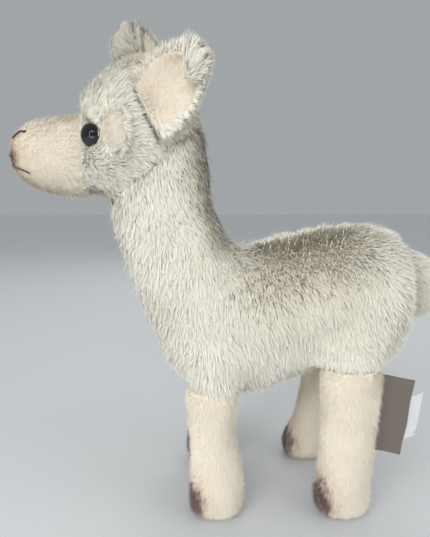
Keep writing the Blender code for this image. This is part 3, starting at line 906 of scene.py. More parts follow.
def ribbons(name: str, points: Sequence[Array], across: Array, shine: Array, tone: Array,
            bent: bool) -> bpy.types.Mesh:
    """Mesh of pointed flat locks: leaves if bent, else triangles.

    Each lock's map holds its tone across and its length upwards, so that its
    colour can be read from the map alone.

    Args:
        name: Name of the mesh.
        points: Root, middle and tip of each lock.
        across: Width vector of each lock.
        shine: Normal that each lock is shaded with.
        tone: Tone of each lock.
        bent: Whether the middle is a point of the mesh.

    Returns:
        The mesh.
    """
    root, middle, tip = points
    half = across / 2
    if bent:
        rows = [root, middle - half, middle + half, tip]
        corners, sizes = [0, 2, 1, 1, 2, 3], [3, 3]
        heights, sides = [0, 0.5, 0.5, 1], [0, -1, 1, 0]
    else:
        rows = [root - half, root + half, tip]
        corners, sizes = [0, 1, 2], [3]
        heights, sides = [0, 0, 1], [-1, 1, 0]
    number, each = len(root), len(rows)
    places = np.stack(rows, axis=1)
    places[:, :, 2] = np.maximum(places[:, :, 2], FLOOR_GAP)
    loops = (np.array(corners)[None, :] + each * np.arange(number)[:, None]).ravel()
    counts = np.tile(sizes, number)
    starts = np.concatenate([[0], np.cumsum(counts)[:-1]])
    mesh = bpy.data.meshes.new(name)
    mesh.vertices.add(number * each)
    mesh.vertices.foreach_set("co", places.astype(np.float32).ravel())
    mesh.loops.add(len(loops))
    mesh.loops.foreach_set("vertex_index", loops.astype(np.int32))
    mesh.polygons.add(len(counts))
    mesh.polygons.foreach_set("loop_start", starts.astype(np.int32))
    mesh.update(calc_edges=True)
    layer = mesh.uv_layers.new(name=FIBRE_UV)
    narrow = 0.004
    u = np.clip(tone, narrow, 1 - narrow)[:, None] + narrow * np.array(sides)[None, :]
    v = np.tile(np.array(heights, float) * 0.98 + 0.01, (number, 1))
    flat = np.stack([u, v], axis=2)[:, corners].reshape(-1)
    layer.data.foreach_set("uv", flat.astype(np.float32))
    mesh.shade_smooth()
    mesh.normals_split_custom_set_from_vertices(np.repeat(shine, each, axis=0))
    return mesh


@dataclass
class Section:
    """One stuffed section: a sewn skin and the coat on it.

    Attributes:
        node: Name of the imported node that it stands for.
        filling: How it is stuffed.
        finish: Its plush.
        slot: The record's slot of its plush.
        count: How many fibres its coat has.
        seed: Seed of its random numbers.
    """

    node: str
    filling: Filling
    finish: PlushFinish
    slot: Slot
    count: int
    seed: int

    def comb(self, places: Array, normals: Array) -> Array:
        """Direction in which the pile lies."""
        return np.tile([0.0, 0.0, -1.0], (len(places), 1))

    def shade(self, places: Array, normals: Array) -> Array:
        """Tone of the pile."""
        return np.full(len(places), 0.2)

    def flecks(self, places: Array, normals: Array) -> Array:
        """Share of dark-tipped fibres."""
        return np.zeros(len(places))

    def growth(self, places: Array, normals: Array) -> Array:
        """Length of the pile, as a share of the full one."""
        return np.ones(len(places))

    def lift(self, places: Array, normals: Array) -> Array:
        """Degrees that the pile stands up more than usual."""
        return np.zeros(len(places))

    def shape(self, places: Array, normals: Array) -> Array:
        """Move of the skin, on top of its filling's."""
        return np.zeros_like(places)

    def fibre(self) -> Fibre:
        """Fibres of the coat."""
        raise NotImplementedError

    def halves(self) -> Sequence[tuple[str, Callable[[Array], Array]]]:
        """Pieces of the coat and the places that each covers."""
        return ((self.node + "_pile", lambda p: np.ones(len(p), bool)),)

    def build(self, nodes: dict[str, bpy.types.Object], near: Neighbours) -> None:
        """Make and dress the section.

        Args:
            nodes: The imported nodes.
            near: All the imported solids.
        """
        tree = near.tree_without(self.node)
        mesh = sewn_skin(self.node + "_skin", nodes[self.node], self.filling, tree, self.shape)
        tone_skin(mesh, self.shade)
        skin = link(self.node + "_skin", mesh, self.finish.backing())
        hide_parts(self.node)
        surface = Surface.of(mesh)
        coat = Coat(self.fibre(), self.comb, self.shade, self.flecks, self.growth, self.lift)
        finish = self.finish.fibres()
        reach = self.filling.inset + 1.0 * MM
        for index, (name, within) in enumerate(self.halves()):
            grown = coat.grow(name, surface, self.count, self.seed + index,
                              lambda p, n: within(p) & ~covered(tree, p, n, reach))
            link(name, grown, finish)

    def fringe_with(self, name: str, coat: Coat, count: int, rim: Callable[[Array], Array],
                    node: bpy.types.Object, near: Neighbours) -> None:
        """Grow a fringe of long fur on the rim of the section.

        Args:
            name: Name of the fringe.
            coat: How it lies.
            count: How many fibres, before those that lie off the rim are left out.
            rim: Which places are on the rim.
            node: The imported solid, whose surface carries the fringe.
            near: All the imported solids.
        """
        tree = near.tree_without(self.node)
        grown = coat.grow(name, Surface.of(node.data), count, self.seed + 5,
                          lambda p, n: rim(p) & ~covered(tree, p, n, SEAM_REACH))
        link(name, grown, FUR.fibres())


@dataclass
class Trunk(Section):
    """Trunk and neck of long fur, with the cuffs that the legs are sewn to.

    Attributes:
        neck_fall: Direction in which the fur of the neck falls.
        flank_fall: Direction in which the fur of the flanks falls.
        rump_fall: Direction in which the fur of the rump falls.
        neck_end: Place where the neck has become the trunk.
        darkest: Line of the saddle's darkest fur, as x and z.
        hem: Line at which the saddle has faded, as x and z.
        ivory: Tone of the plain fur.
        grey: Tone of the painted shade on the back of the neck, which faces away from the light.
        beige: Tone that the warm flank adds.
    """

    node: str = "torso"
    filling: Filling = Filling(4.5 * MM, 6, 2.4 * MM, pressure=3.0, cap=1.2 * MM, fill=0.9)
    finish: PlushFinish = FUR
    slot: Slot = Slot.FUR
    count: int = 174000
    seed: int = 101
    neck_fall: tuple[float, float, float] = (0.20, 0.0, -0.98)
    flank_fall: tuple[float, float, float] = (0.22, 0.0, -0.97)
    rump_fall: tuple[float, float, float] = (0.75, 0.0, -0.65)
    neck_end: float = 0.012
    darkest: tuple[tuple[float, float], ...] = ((0.012, 0.1475), (0.033, 0.1540), (0.056, 0.1585),
                                                (0.085, 0.1610))
    hem: tuple[tuple[float, float], ...] = ((0.003, 0.1290), (0.026, 0.1310), (0.055, 0.1410),
                                            (0.084, 0.1490))
    ivory: float = 0.08
    grey: float = 0.55
    beige: float = 0.12

    def fibre(self) -> Fibre:
        """Long combed fur."""
        return Fibre(length=8.0 * MM, width=0.50 * MM, rise=26, droop=9, stray=16, tuft=2.8 * MM,
                     gather=0.35, fuzz=0.03)

    def halves(self) -> Sequence[tuple[str, Callable[[Array], Array]]]:
        """Left and right half of the coat."""
        return (("torso_fur_left", lambda p: p[:, 1] < 0), ("torso_fur_right", lambda p: p[:, 1] >= 0))

    def along_back(self, places: Array) -> Array:
        """Share from the neck, 0, to the trunk, 1."""
        return step(places[:, 0] + 0.35 * (0.16 - places[:, 2]), -0.012, self.neck_end + 0.006)

    def top(self, places: Array, normals: Array, low: float = 0.45) -> Array:
        """Strength of the ridge of the back, which faces up more steeply than low."""
        return step(normals[:, 2], low, 0.9) * self.along_back(places)

    def comb(self, places: Array, normals: Array) -> Array:
        """Fur falls down the neck and the flanks, and back over the rump.

        Args:
            places: Points on the skin, one a row.
            normals: Outward directions there.

        Returns:
            A direction for each place.
        """
        trunk = self.along_back(places)[:, None]
        rump = (step(places[:, 0], 0.070, 0.105) * step(places[:, 2], 0.105, 0.145))[:, None]
        flank = np.array(self.flank_fall) * (1 - rump) + np.array(self.rump_fall) * rump
        return np.array(self.neck_fall) * (1 - trunk) + flank * trunk

    def saddle(self, places: Array) -> Array:
        """Strength of the dark saddle, most under the ridge of the back.

        Args:
            places: Points on the skin, one a row.

        Returns:
            A strength from 0 to 1 for each place.
        """
        x, z = places[:, 0], places[:, 2]
        dark = np.interp(x, *zip(*self.darkest))
        low = np.interp(x, *zip(*self.hem)) + 3 * MM * wander(places, 9 * MM, 7)[:, 0]
        ridge = 0.35 + 0.65 * step(z, dark + 15 * MM, dark + 5 * MM)
        return band(x, -0.010, 0.016, 0.060, 0.108) * step(z, low - 6 * MM, dark) * ridge

    def nape_shade(self, places: Array, normals: Array) -> Array:
        """Strength of the painted shade on the back of the neck, where it faces away from the light."""
        faces_back = step(normals[:, 0], 0.15, 0.8) * step(places[:, 2], 0.150, 0.172)
        return faces_back * (1 - 0.7 * self.along_back(places))

    def shade(self, places: Array, normals: Array) -> Array:
        """Ivory fur, with painted shade on the back of the neck, grey in the saddle and warm under it.

        Args:
            places: Points on the skin, one a row.
            normals: Outward directions there.

        Returns:
            A tone for each place.
        """
        x, z = places[:, 0], places[:, 2]
        warm = band(z, 0.100, 0.125, 0.140, 0.165) * band(x, -0.005, 0.020, 0.060, 0.100)
        top = self.top(places, normals)
        saddle = self.saddle(places) * (0.12 + 0.05 * top)
        breast = 0.07 * step(x, -0.030, -0.045) * step(z, 0.150, 0.130)
        # The back of the neck is set darker here as painted shade, where it faces away from the light.
        return self.ivory + self.grey * self.nape_shade(places, normals) + saddle + self.beige * warm + breast

    def flecks(self, places: Array, normals: Array) -> Array:
        """Dark tips in the saddle, few on the side of the neck, and a few more as painted shade on the back
        of the neck.

        Args:
            places: Points on the skin, one a row.
            normals: Outward directions there.

        Returns:
            A share for each place.
        """
        neck = step(places[:, 2], 0.165, 0.195) * step(places[:, 0], -0.045, -0.020)
        top = self.top(places, normals)
        saddle = self.saddle(places) * (0.27 - 0.13 * top)
        # The extra dark tips on the back of the neck are painted shade.
        return 0.006 + 0.035 * neck + 0.05 * self.nape_shade(places, normals) + saddle

    def lift(self, places: Array, normals: Array) -> Array:
        """Fur stands up along the back, in the saddle and round the rump's rear.

        Args:
            places: Points on the skin, one a row.
            normals: Outward directions there.

        Returns:
            An angle for each place.
        """
        top = self.top(places, normals)
        behind = step(normals[:, 0], 0.30, 0.70) * step(places[:, 0], 0.080, 0.100)
        edge = np.maximum(step(places[:, 2], 0.125, 0.152), step(np.abs(places[:, 1]), 0.018, 0.036))
        ridge = 25 * top * step(places[:, 0], 0.002, 0.034)
        return ridge + 20 * self.saddle(places) * (1 - top) + 30 * behind * edge

    def growth(self, places: Array, normals: Array) -> Array:
        """Longer fur on the rump and before the legs, shorter under the belly, in tufts on the ridge.

        Args:
            places: Points on the skin, one a row.
            normals: Outward directions there.

        Returns:
            A share for each place.
        """
        top = self.top(places, normals, low=0.4)
        rump = step(places[:, 0], 0.090, 0.118) * (1 - top)
        hem = step(places[:, 2], 0.094, 0.082) * step(places[:, 0], 0.030, 0.010)
        belly = step(places[:, 2], 0.104, 0.092) * band(places[:, 0], 0.020, 0.036, 0.050, 0.062)
        tufts = top * wander(places, 5 * MM, 17)[:, 0]
        return (0.90 + 0.20 * rump + 0.12 * hem - 0.50 * hem * step(places[:, 0], -0.014, -0.026)
                - 0.35 * belly - 0.12 * top + 0.34 * tufts - 0.18 * self.saddle(places) * (1 - top))


@dataclass
class Head(Section):
    """Head of long fur, swept back from the muzzle.

    Attributes:
        sweep_from: Place from which the fur is swept.
        crease: Dark line along the root of the left ear, as x and z, painted shade with a brown airbrush.
        tear: Brown line over the back of each eye.
        brow: Faint line over the patches.
        throat: Line where the chin turns into the throat, darkened with painted shade.
    """

    node: str = "head"
    filling: Filling = Filling(3.0 * MM, 4, 2.0 * MM, pressure=3.0, cap=0.8 * MM, fill=0.9)
    finish: PlushFinish = FUR
    slot: Slot = Slot.FUR
    count: int = 66000
    seed: int = 201
    sweep_from: tuple[float, float, float] = (-0.104, 0.0, 0.218)
    crease: tuple[tuple[float, float], ...] = ((-0.0590, 0.2560), (-0.0550, 0.2448), (-0.0490, 0.2340),
                                               (-0.0452, 0.2280))
    tear: tuple[tuple[float, float], ...] = ((-0.0842, 0.2375), (-0.0815, 0.2345), (-0.0785, 0.2322))
    brow: tuple[tuple[float, float], ...] = ((-0.0863, 0.2430), (-0.0780, 0.2436), (-0.0715, 0.2458))
    throat: tuple[tuple[float, float], ...] = ((-0.0764, 0.1963), (-0.0639, 0.1933))

    def fibre(self) -> Fibre:
        """Long fur, a little shorter than on the body."""
        return Fibre(length=7.2 * MM, width=0.46 * MM, rise=28, droop=11, stray=24, tuft=2.4 * MM,
                     gather=0.4, fuzz=0.04)

    def forelock(self, places: Array) -> Array:
        """Strength of the forelock over the muzzle."""
        return spot(places, (-0.091, None, 0.250), (0.014, 1.0, 0.017))

    def comb(self, places: Array, normals: Array) -> Array:
        """Fur sweeps back from the muzzle and then down to the neck.

        Args:
            places: Points on the skin, one a row.
            normals: Outward directions there.

        Returns:
            A direction for each place.
        """
        out = unit(places - np.array(self.sweep_from))
        down = step(places[:, 0], -0.075, -0.030)[:, None] * step(places[:, 2], 0.262, 0.225)[:, None]
        front = self.forelock(places)[:, None]
        swept = out * (1 - 0.5 * down) + np.array([0.1, 0.0, -0.9]) * down
        return swept * (1 - front) + np.array([-0.30, 0.0, 1.0]) * front

    def shade(self, places: Array, normals: Array) -> Array:
        """Ivory fur with the soft dark lines of its seams and folds: painted shade in the fold under the
        chin, and painted shade with a brown airbrush along the root of the left ear.

        Args:
            places: Points on the skin, one a row.
            normals: Outward directions there.

        Returns:
            A tone for each place.
        """
        left = places[:, 1] < 0
        # Painted shade: the line along the root of the left ear is painted shade with a brown airbrush, and
        # the line under the chin is painted shade.
        lines = (0.85 * left * stroke(places, self.crease, 3.2 * MM)
                 + 0.75 * stroke(places, self.tear, 2.6 * MM)
                 + 0.16 * stroke(places, self.brow, 2.4 * MM)
                 + 0.45 * stroke(places, self.throat, 3.0 * MM))
        side = np.abs(places[:, 1]) > 14 * MM
        crown = 0.15 * step(places[:, 2], 0.238, 0.262)
        return 0.05 + 0.22 * step(places[:, 0], -0.045, -0.022) + crown + lines * side

    def flecks(self, places: Array, normals: Array) -> Array:
        """Dark tips on the cheeks, few on the jaw and the crown.

        Args:
            places: Points on the skin, one a row.
            normals: Outward directions there.

        Returns:
            A share for each place.
        """
        cheek = spot(places, (-0.080, None, 0.213), (0.013, 1.0, 0.009))
        jaw = spot(places, (-0.050, None, 0.208), (0.016, 1.0, 0.020))
        crown = step(places[:, 2], 0.240, 0.262)
        return 0.008 + 0.17 * cheek + 0.04 * jaw + 0.03 * crown

    def growth(self, places: Array, normals: Array) -> Array:
        """Short fur at the muzzle seam and before the eyes, long in the forelock.

        Args:
            places: Points on the skin, one a row.
            normals: Outward directions there.

        Returns:
            A share for each place.
        """
        seam = 0.60 + 0.34 * step(places[:, 0], -0.088, -0.068)
        root = stroke(places, self.crease, 5 * MM) * (places[:, 1] < 0)
        short = (1 - 0.6 * stroke(places, self.tear, 5 * MM)) * (1 - 0.6 * root)
        return np.maximum(seam, 1.10 * self.forelock(places)) * short

    def lift(self, places: Array, normals: Array) -> Array:
        """The forelock stands up, and so does the tuft under each eye."""
        return 26 * self.forelock(places) + 22 * spot(places, (-0.083, None, 0.219), (0.008, 1.0, 0.006))


@dataclass
class Muzzle(Section):
    """Muzzle of short plush, airbrushed at the nose."""

    node: str = "muzzle"
    filling: Filling = Filling(2.2 * MM, 4, 1.0 * MM, pressure=2.0, cap=0.4 * MM, fill=0.9, lumps=0.3 * MM)
    finish: PlushFinish = PILE
    slot: Slot = Slot.PILE
    count: int = 50000
    seed: int = 301

    def fibre(self) -> Fibre:
        """Sheared pile."""
        return Fibre(length=3.7 * MM, width=0.40 * MM, rise=24, droop=18, stray=30, tuft=1.8 * MM,
                     gather=0.45, bent=False, fuzz=0.14)

    def comb(self, places: Array, normals: Array) -> Array:
        """Pile lies back from the nose."""
        return unit(places - np.array([-0.150, 0.0, 0.221]))

    def growth(self, places: Array, normals: Array) -> Array:
        """Shorter pile round the stitches, longer at the seam with the head."""
        return 0.65 + 0.35 * step(places[:, 0], -0.128, -0.112) + 0.35 * step(places[:, 0], -0.104, -0.094)

    def shade(self, places: Array, normals: Array) -> Array:
        """Cream pile with a brown breath of colour on the nose and its lips.

        Args:
            places: Points on the skin, one a row.
            normals: Outward directions there.

        Returns:
            A tone for each place.
        """
        nose = spot(places, (-0.1345, None, 0.2165), (0.0150, 1.0, 0.014))
        lips = stroke(places, ((-0.1330, 0.2075), (-0.1270, 0.2050), (-0.1200, 0.2030)), 4 * MM)
        mottled = 0.07 * wander(places, 3.0 * MM, 19)[:, 0]
        return 0.02 + 0.70 * np.clip(1.15 * nose, 0, 1) + 0.28 * lips + mottled


@dataclass
class Leg(Section):
    """Leg of short plush with an airbrushed hoof.

    Attributes:
        end: End of the animal.
        toe: Middle of the airbrushed spot, in front of the foot.
    """

    # Reach of the airbrushed spot along, across and up
    AIRBRUSHED = {End.FRONT: (0.014, 0.023, 0.021), End.REAR: (0.019, 0.024, 0.021)}

    # Heights along a front shank, and how far its back and its front move
    HEIGHTS = np.array([0.0, 20, 35, 50, 58, 68, 80]) * MM
    BACK = np.array([0.6, 1.2, 0.8, -1.6, -2.4, -1.2, 0.0]) * MM
    FRONT = np.array([0.0, 0.0, -0.2, -0.8, -1.2, -1.6, -1.2]) * MM

    end: End
    toe: tuple[float, float, float]

    @classmethod
    def named(cls, end: End, side: Side, seed: int) -> "Leg":
        """Leg of one corner.

        Args:
            end: End of the animal.
            side: Side of the animal.
            seed: Seed of its random numbers.

        Returns:
            The leg.
        """
        node = f"leg_{end.value}_{side.word}"
        low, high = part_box(node)
        front = low.x + 2 * MM if end is End.FRONT else low.x
        near = (low.y + high.y) / 2 + side.value * 3 * MM
        filling = Filling(2.8 * MM, 4, 1.0 * MM, pressure=2.0, cap=0.5 * MM, fill=0.85, lumps=0.7 * MM)
        return cls(node=node, filling=filling, finish=PILE, slot=Slot.PILE, count=46000, seed=seed,
                   end=end, toe=(front, near, 12 * MM))

    def fibre(self) -> Fibre:
        """Sheared pile."""
        return Fibre(length=3.4 * MM, width=0.46 * MM, rise=25, droop=21, stray=28, tuft=1.8 * MM,
                     gather=0.45, bent=False, fuzz=0.16)

    def shape(self, places: Array, normals: Array) -> Array:
        """Slim a front shank behind and let its calf sag over the heel.

        Args:
            places: Points on the skin, one a row.
            normals: Outward directions there.

        Returns:
            A move for each place, in metres.
        """
        move = np.zeros_like(places)
        if self.end is End.FRONT:
            behind = step(normals[:, 0], -0.3, 0.5)
            back = np.interp(places[:, 2], self.HEIGHTS, self.BACK)
            front = np.interp(places[:, 2], self.HEIGHTS, self.FRONT)
            move[:, 0] = back * behind + front * (1 - behind)
        return move

    def shade(self, places: Array, normals: Array) -> Array:
        """Cream pile with a brown breath of colour at the toe.

        Args:
            places: Points on the skin, one a row.
            normals: Outward directions there.

        Returns:
            A tone for each place.
        """
        hoof = spot(places, self.toe, self.AIRBRUSHED[self.end])
        streaks = 1 + 0.5 * wander(places * [1, 1, 0.4], 1.6 * MM, 13)[:, 0]
        mottled = 0.05 * wander(places, 3.0 * MM, 19)[:, 0]
        return 0.08 + 0.80 * np.clip(hoof * streaks * 1.6, 0, 1) + mottled


@dataclass
class Tail(Section):
    """Flat hanging tail of long fur."""

    node: str = "tail"
    filling: Filling = Filling(2.4 * MM, 3, 2.0 * MM, pressure=1.0, cap=0.5 * MM, fill=0.6)
    finish: PlushFinish = FUR
    slot: Slot = Slot.FUR
    count: int = 22000
    seed: int = 401

    def fibre(self) -> Fibre:
        """Long loose fur."""
        return Fibre(length=9.5 * MM, width=0.55 * MM, rise=46, droop=26, stray=22, tuft=3.2 * MM, gather=0.6)

    def comb(self, places: Array, normals: Array) -> Array:
        """Fur falls backwards and down."""
        return np.tile([0.75, 0.0, -0.66], (len(places), 1))

    def shade(self, places: Array, normals: Array) -> Array:
        """Ivory fur, greyer at the root."""
        return 0.06 + 0.16 * step(places[:, 2], 0.145, 0.170)

    def growth(self, places: Array, normals: Array) -> Array:
        """Shorter fur on top of the root."""
        return 1 - 0.6 * step(places[:, 2], 0.148, 0.163)

    def shape(self, places: Array, normals: Array) -> Array:
        """Let the top of the root lie lower."""
        return np.array([[0.0, 0.0, -2.0 * MM]]) * step(places[:, 2], 0.150, 0.166)[:, None]


# Creases that run out from the pinched root of the far ear, as x and z
FAR_EAR_FOLDS = (
    ((-0.0531, 0.2844), (-0.0577, 0.2882), (-0.0640, 0.2916)),
    ((-0.0531, 0.2851), (-0.0544, 0.2895), (-0.0549, 0.2940)),
    ((-0.0585, 0.2930), (-0.0608, 0.2980), (-0.0632, 0.3045)),
    ((-0.0552, 0.2960), (-0.0555, 0.3010), (-0.0582, 0.3082)),
    ((-0.0710, 0.2823), (-0.0644, 0.2836), (-0.0571, 0.2850)),
)

# Places where the rim of the far ear is drawn in, as x and z
FAR_EAR_NOTCHES = ((-0.0724, 0.3030), (-0.0651, 0.3093), (-0.0740, 0.2870))


@dataclass(frozen=True)
class EarPose:
    """Where an ear stands and how far it reaches.

    Attributes:
        axis: Direction from its root to its tip.
        across: Direction over its width.
        middle: Its middle.
        reach: Half its length and half its width.
    """

    axis: Array
    across: Array
    middle: Array
    reach: tuple[float, float]

    @classmethod
    def of(cls, node: bpy.types.Object, axis: Sequence[float], across: Sequence[float]) -> "EarPose":
        """Measure an ear.

        Args:
            node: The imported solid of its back.
            axis: Direction from its root to its tip.
            across: Direction over its width.

        Returns:
            Its pose.
        """
        points = Surface.of(node.data).points
        long_way = unit(np.array(axis))
        wide_way = unit(np.array(across) - long_way * (np.array(across) @ long_way))
        middle, reach = points.mean(axis=0), []
        for way in (long_way, wide_way):
            spans = points @ way
            middle = middle + way * ((spans.max() + spans.min()) / 2 - middle @ way)
            reach.append((spans.max() - spans.min()) / 2)
        return cls(long_way, wide_way, middle, tuple(reach))

    def outward(self, places: Array) -> tuple[Array, Array]:
        """Find how near the rim places are.

        Args:
            places: Points, one a row.

        Returns:
            The share from the middle, 0, to the rim, 1, and the way out.
        """
        off = places - self.middle
        along, wide = off @ self.axis / self.reach[0], off @ self.across / self.reach[1]
        way = along[:, None] / self.reach[0] * self.axis + wide[:, None] / self.reach[1] * self.across
        return np.hypot(along, wide), unit(way)

    def comb(self, places: Array) -> Array:
        """Pile lies from the root to the tip, and outwards at the rim.

        Args:
            places: Points on the skin, one a row.

        Returns:
            A direction for each place.
        """
        rho, way = self.outward(places)
        rim = step(rho, 0.45, 0.95)[:, None]
        return self.axis * (1 - 0.75 * rim) + way * rim


@dataclass
class EarBack(Section):
    """Fur back of an ear.

    Attributes:
        pose: How the ear stands.
        folds: Creases of the back, each as x and z of its points.
        notches: Places where the rim is pulled in, as x and z.
        grey: Tone of the fur.
    """

    pose: EarPose
    folds: tuple[tuple[tuple[float, float], ...], ...] = ()
    notches: tuple[tuple[float, float], ...] = ()
    grey: float = 0.03

    @classmethod
    def named(cls, side: Side, pose: EarPose, seed: int, **looks: object) -> "EarBack":
        """Back of one ear.

        Args:
            side: Side of the animal.
            pose: How the ear stands.
            seed: Seed of its random numbers.
            looks: Folds, notches and tone, where it has its own.

        Returns:
            The back of the ear.
        """
        filling = Filling(1.3 * MM, 3, 0.6 * MM, fill=0.2)
        return cls(node="ear_" + side.word, filling=filling, finish=FUR, slot=Slot.FUR, count=17000,
                   seed=seed, pose=pose, **looks)

    def fibre(self) -> Fibre:
        """Long fur, shorter on the folded ear.

        Returns:
            The fibres.
        """
        if self.folds:
            return Fibre(length=5.2 * MM, width=0.42 * MM, rise=16, droop=8, stray=12, tuft=2.2 * MM)
        return Fibre(length=7.5 * MM, width=0.46 * MM, rise=24, droop=12, stray=14, tuft=2.6 * MM)

    def comb(self, places: Array, normals: Array) -> Array:
        """Fur lies from the root to the tip, and outwards at the rim."""
        return self.pose.comb(places)

    def growth(self, places: Array, normals: Array) -> Array:
        """Shorter fur at the back rim."""
        rho, way = self.pose.outward(places)
        return 1 - 0.45 * step(rho, 0.5, 0.9) * step(way @ self.pose.across, 0.0, 0.7)

    def crease(self, places: Array, reach: float) -> Array:
        """Strength of the folds, each of the given reach, in metres."""
        return np.max([stroke(places, fold, reach) for fold in self.folds] or [np.zeros(len(places))], axis=0)

    def shade(self, places: Array, normals: Array) -> Array:
        """Ivory fur, with painted shade in the folds."""
        # The folds are set darker as painted shade in the creases.
        return self.grey + 0.38 * self.crease(places, 1.2 * MM)

    def shape(self, places: Array, normals: Array) -> Array:
        """Sink the folds and pull in the rim at the notches.

        Args:
            places: Points on the skin, one a row.
            normals: Outward directions there.

        Returns:
            A move for each place, in metres.
        """
        move = -1.0 * MM * normals * self.crease(places, 2.6 * MM)[:, None]
        for x, z in self.notches:
            near = spot(places, (x, None, z), 5 * MM)[:, None]
            move += near * 3.2 * MM * unit(self.pose.middle - places)
        return move


@dataclass
class EarLining(Section):
    """Short lining of an ear, with the long fur of the back round its rim.

    Attributes:
        pose: How the ear stands.
        pink: Middle of the darker skin at its root.
        fringe: Direction to which the fur of the rim leans.
        crease: Dark line along its root, as x and z, painted shade with a brown airbrush.
    """

    pose: EarPose
    pink: tuple[float, float, float]
    fringe: tuple[float, float, float]
    crease: tuple[tuple[float, float], ...] = ((-0.0575, 0.2559), (-0.0535, 0.2439), (-0.0471, 0.2332),
                                               (-0.0433, 0.2268), (-0.0418, 0.2225))

    @classmethod
    def named(cls, side: Side, pose: EarPose, seed: int, pink: tuple[float, float, float],
              fringe: tuple[float, float, float]) -> "EarLining":
        """Lining of one ear.

        Args:
            side: Side of the animal.
            pose: How the ear stands.
            seed: Seed of its random numbers.
            pink: Middle of the darker skin at its root.
            fringe: Direction to which the fur of the rim leans.

        Returns:
            The lining.
        """
        filling = Filling(0.8 * MM, 3, 0.2 * MM, fill=0.2, finer=0)
        return cls(node="ear_lining_" + side.word, filling=filling, finish=PILE, slot=Slot.PILE,
                   count=24000, seed=seed, pose=pose, pink=pink, fringe=fringe)

    def fibre(self) -> Fibre:
        """Sheared pile."""
        return Fibre(length=2.8 * MM, width=0.34 * MM, rise=22, droop=14, stray=16, tuft=1.6 * MM, gather=0.4,
                     bent=False)

    def comb(self, places: Array, normals: Array) -> Array:
        """Pile lies from the root to the tip."""
        return self.pose.comb(places)

    def shade(self, places: Array, normals: Array) -> Array:
        """Cream lining, pinkish beige at its root, and darker along the root of the left ear as painted shade
        with a brown airbrush.
        """
        # The dark line along the root of the left ear is painted shade with a brown airbrush.
        return (0.19 + 0.32 * spot(places, self.pink, (0.012, 1.0, 0.024))
                + 0.50 * stroke(places, self.crease, 2.6 * MM) * (places[:, 1] < 0))

    def build(self, nodes: dict[str, bpy.types.Object], near: Neighbours) -> None:
        """Make the lining and the fur of its rim.

        Args:
            nodes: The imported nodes.
            near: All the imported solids.
        """
        super().build(nodes, near)
        long_fur = Fibre(length=5.6 * MM, width=0.42 * MM, rise=22, droop=8, stray=18, tuft=2.2 * MM,
                         gather=0.5)
        coat = Coat(long_fur, comb=lambda p, n: self.pose.outward(p)[1] + np.array(self.fringe),
                    shade=lambda p, n: 0.05 + 0.12 * step(p[:, 2], 0.262, 0.272))
        self.fringe_with(self.node + "_fringe", coat, 9000, self.rim, nodes[self.node], near)

    def rim(self, places: Array) -> Array:
        """Find the places near the free rim, away from the root.

        Args:
            places: Points on the skin, one a row.

        Returns:
            True for each place that is on the rim.
        """
        rho, way = self.pose.outward(places)
        free = way @ self.pose.across > -0.35
        return (rho + 0.10 * wander(places, 5 * MM, 15)[:, 0] > 0.80) & (free | (way @ self.pose.axis > 0.7))


@dataclass
class EyePatch(Section):
    """Oval of short plush behind an eye, with faint pinkish dots.

    Attributes:
        freckles: Middles of the dots, as x and z.
    """

    freckles: tuple[tuple[float, float], ...] = ((-0.0717, 0.2357), (-0.0729, 0.2308), (-0.0759, 0.2405))

    @classmethod
    def named(cls, side: Side, seed: int) -> "EyePatch":
        """Patch of one side.

        Args:
            side: Side of the animal.
            seed: Seed of its random numbers.

        Returns:
            The patch.
        """
        filling = Filling(0.7 * MM, 8, 0.9 * MM, fill=0.2, finer=0)
        return cls(node="eye_patch_" + side.word, filling=filling, finish=PILE, slot=Slot.PILE,
                   count=9000, seed=seed)

    def fibre(self) -> Fibre:
        """Sheared pile."""
        return Fibre(length=4.0 * MM, width=0.38 * MM, rise=22, droop=14, stray=32, tuft=1.7 * MM,
                     gather=0.35, bent=False, fuzz=0.12)

    def comb(self, places: Array, normals: Array) -> Array:
        """Pile lies down and back, and outwards at the edge."""
        return np.array([0.35, 0.0, -0.75]) + 0.3 * unit(places - np.mean(places, axis=0))

    def growth(self, places: Array, normals: Array) -> Array:
        """Shorter pile at the eye."""
        return 0.55 + 0.45 * step(places[:, 0], -0.077, -0.071)

    def shade(self, places: Array, normals: Array) -> Array:
        """Cream with pinkish dots, brown at the eye."""
        freckled = sum(spot(places, (x, None, z), 2.2 * MM) for x, z in self.freckles)
        return 0.40 * freckled + 0.45 * stroke(places, Head.tear, 2.2 * MM)

    def build(self, nodes: dict[str, bpy.types.Object], near: Neighbours) -> None:
        """Make the patch and the long fur that lies over its edge.

        Args:
            nodes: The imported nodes.
            near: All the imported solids.
        """
        super().build(nodes, near)
        middle, _ = self.extent()
        long_fur = Fibre(length=5.6 * MM, width=0.42 * MM, rise=24, droop=10, stray=30, tuft=2.2 * MM,
                         gather=0.4, fuzz=0.06)
        coat = Coat(long_fur, comb=lambda p, n: unit((p - middle) * [1, 0, 1]) + np.array([0.35, 0.0, -0.25]),
                    shade=lambda p, n: np.full(len(p), 0.06))
        self.fringe_with(self.node + "_edge", coat, 5000, self.rim, nodes[self.node], near)

    def extent(self) -> tuple[Array, Array]:
        """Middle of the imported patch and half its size."""
        low, high = (np.array(corner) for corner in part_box(self.node))
        return (low + high) / 2, (high - low) / 2

    def rim(self, places: Array) -> Array:
        """Find the outer places of the patch, behind the eye.

        Args:
            places: Points on the skin, one a row.

        Returns:
            True for each place that is on the rim.
        """
        middle, half = self.extent()
        off = (places - middle) / half
        rho = np.hypot(off[:, 0], off[:, 2]) + 0.10 * wander(places, 4 * MM, 15)[:, 0]
        return (rho > 0.74) & (off[:, 0] > -0.45)


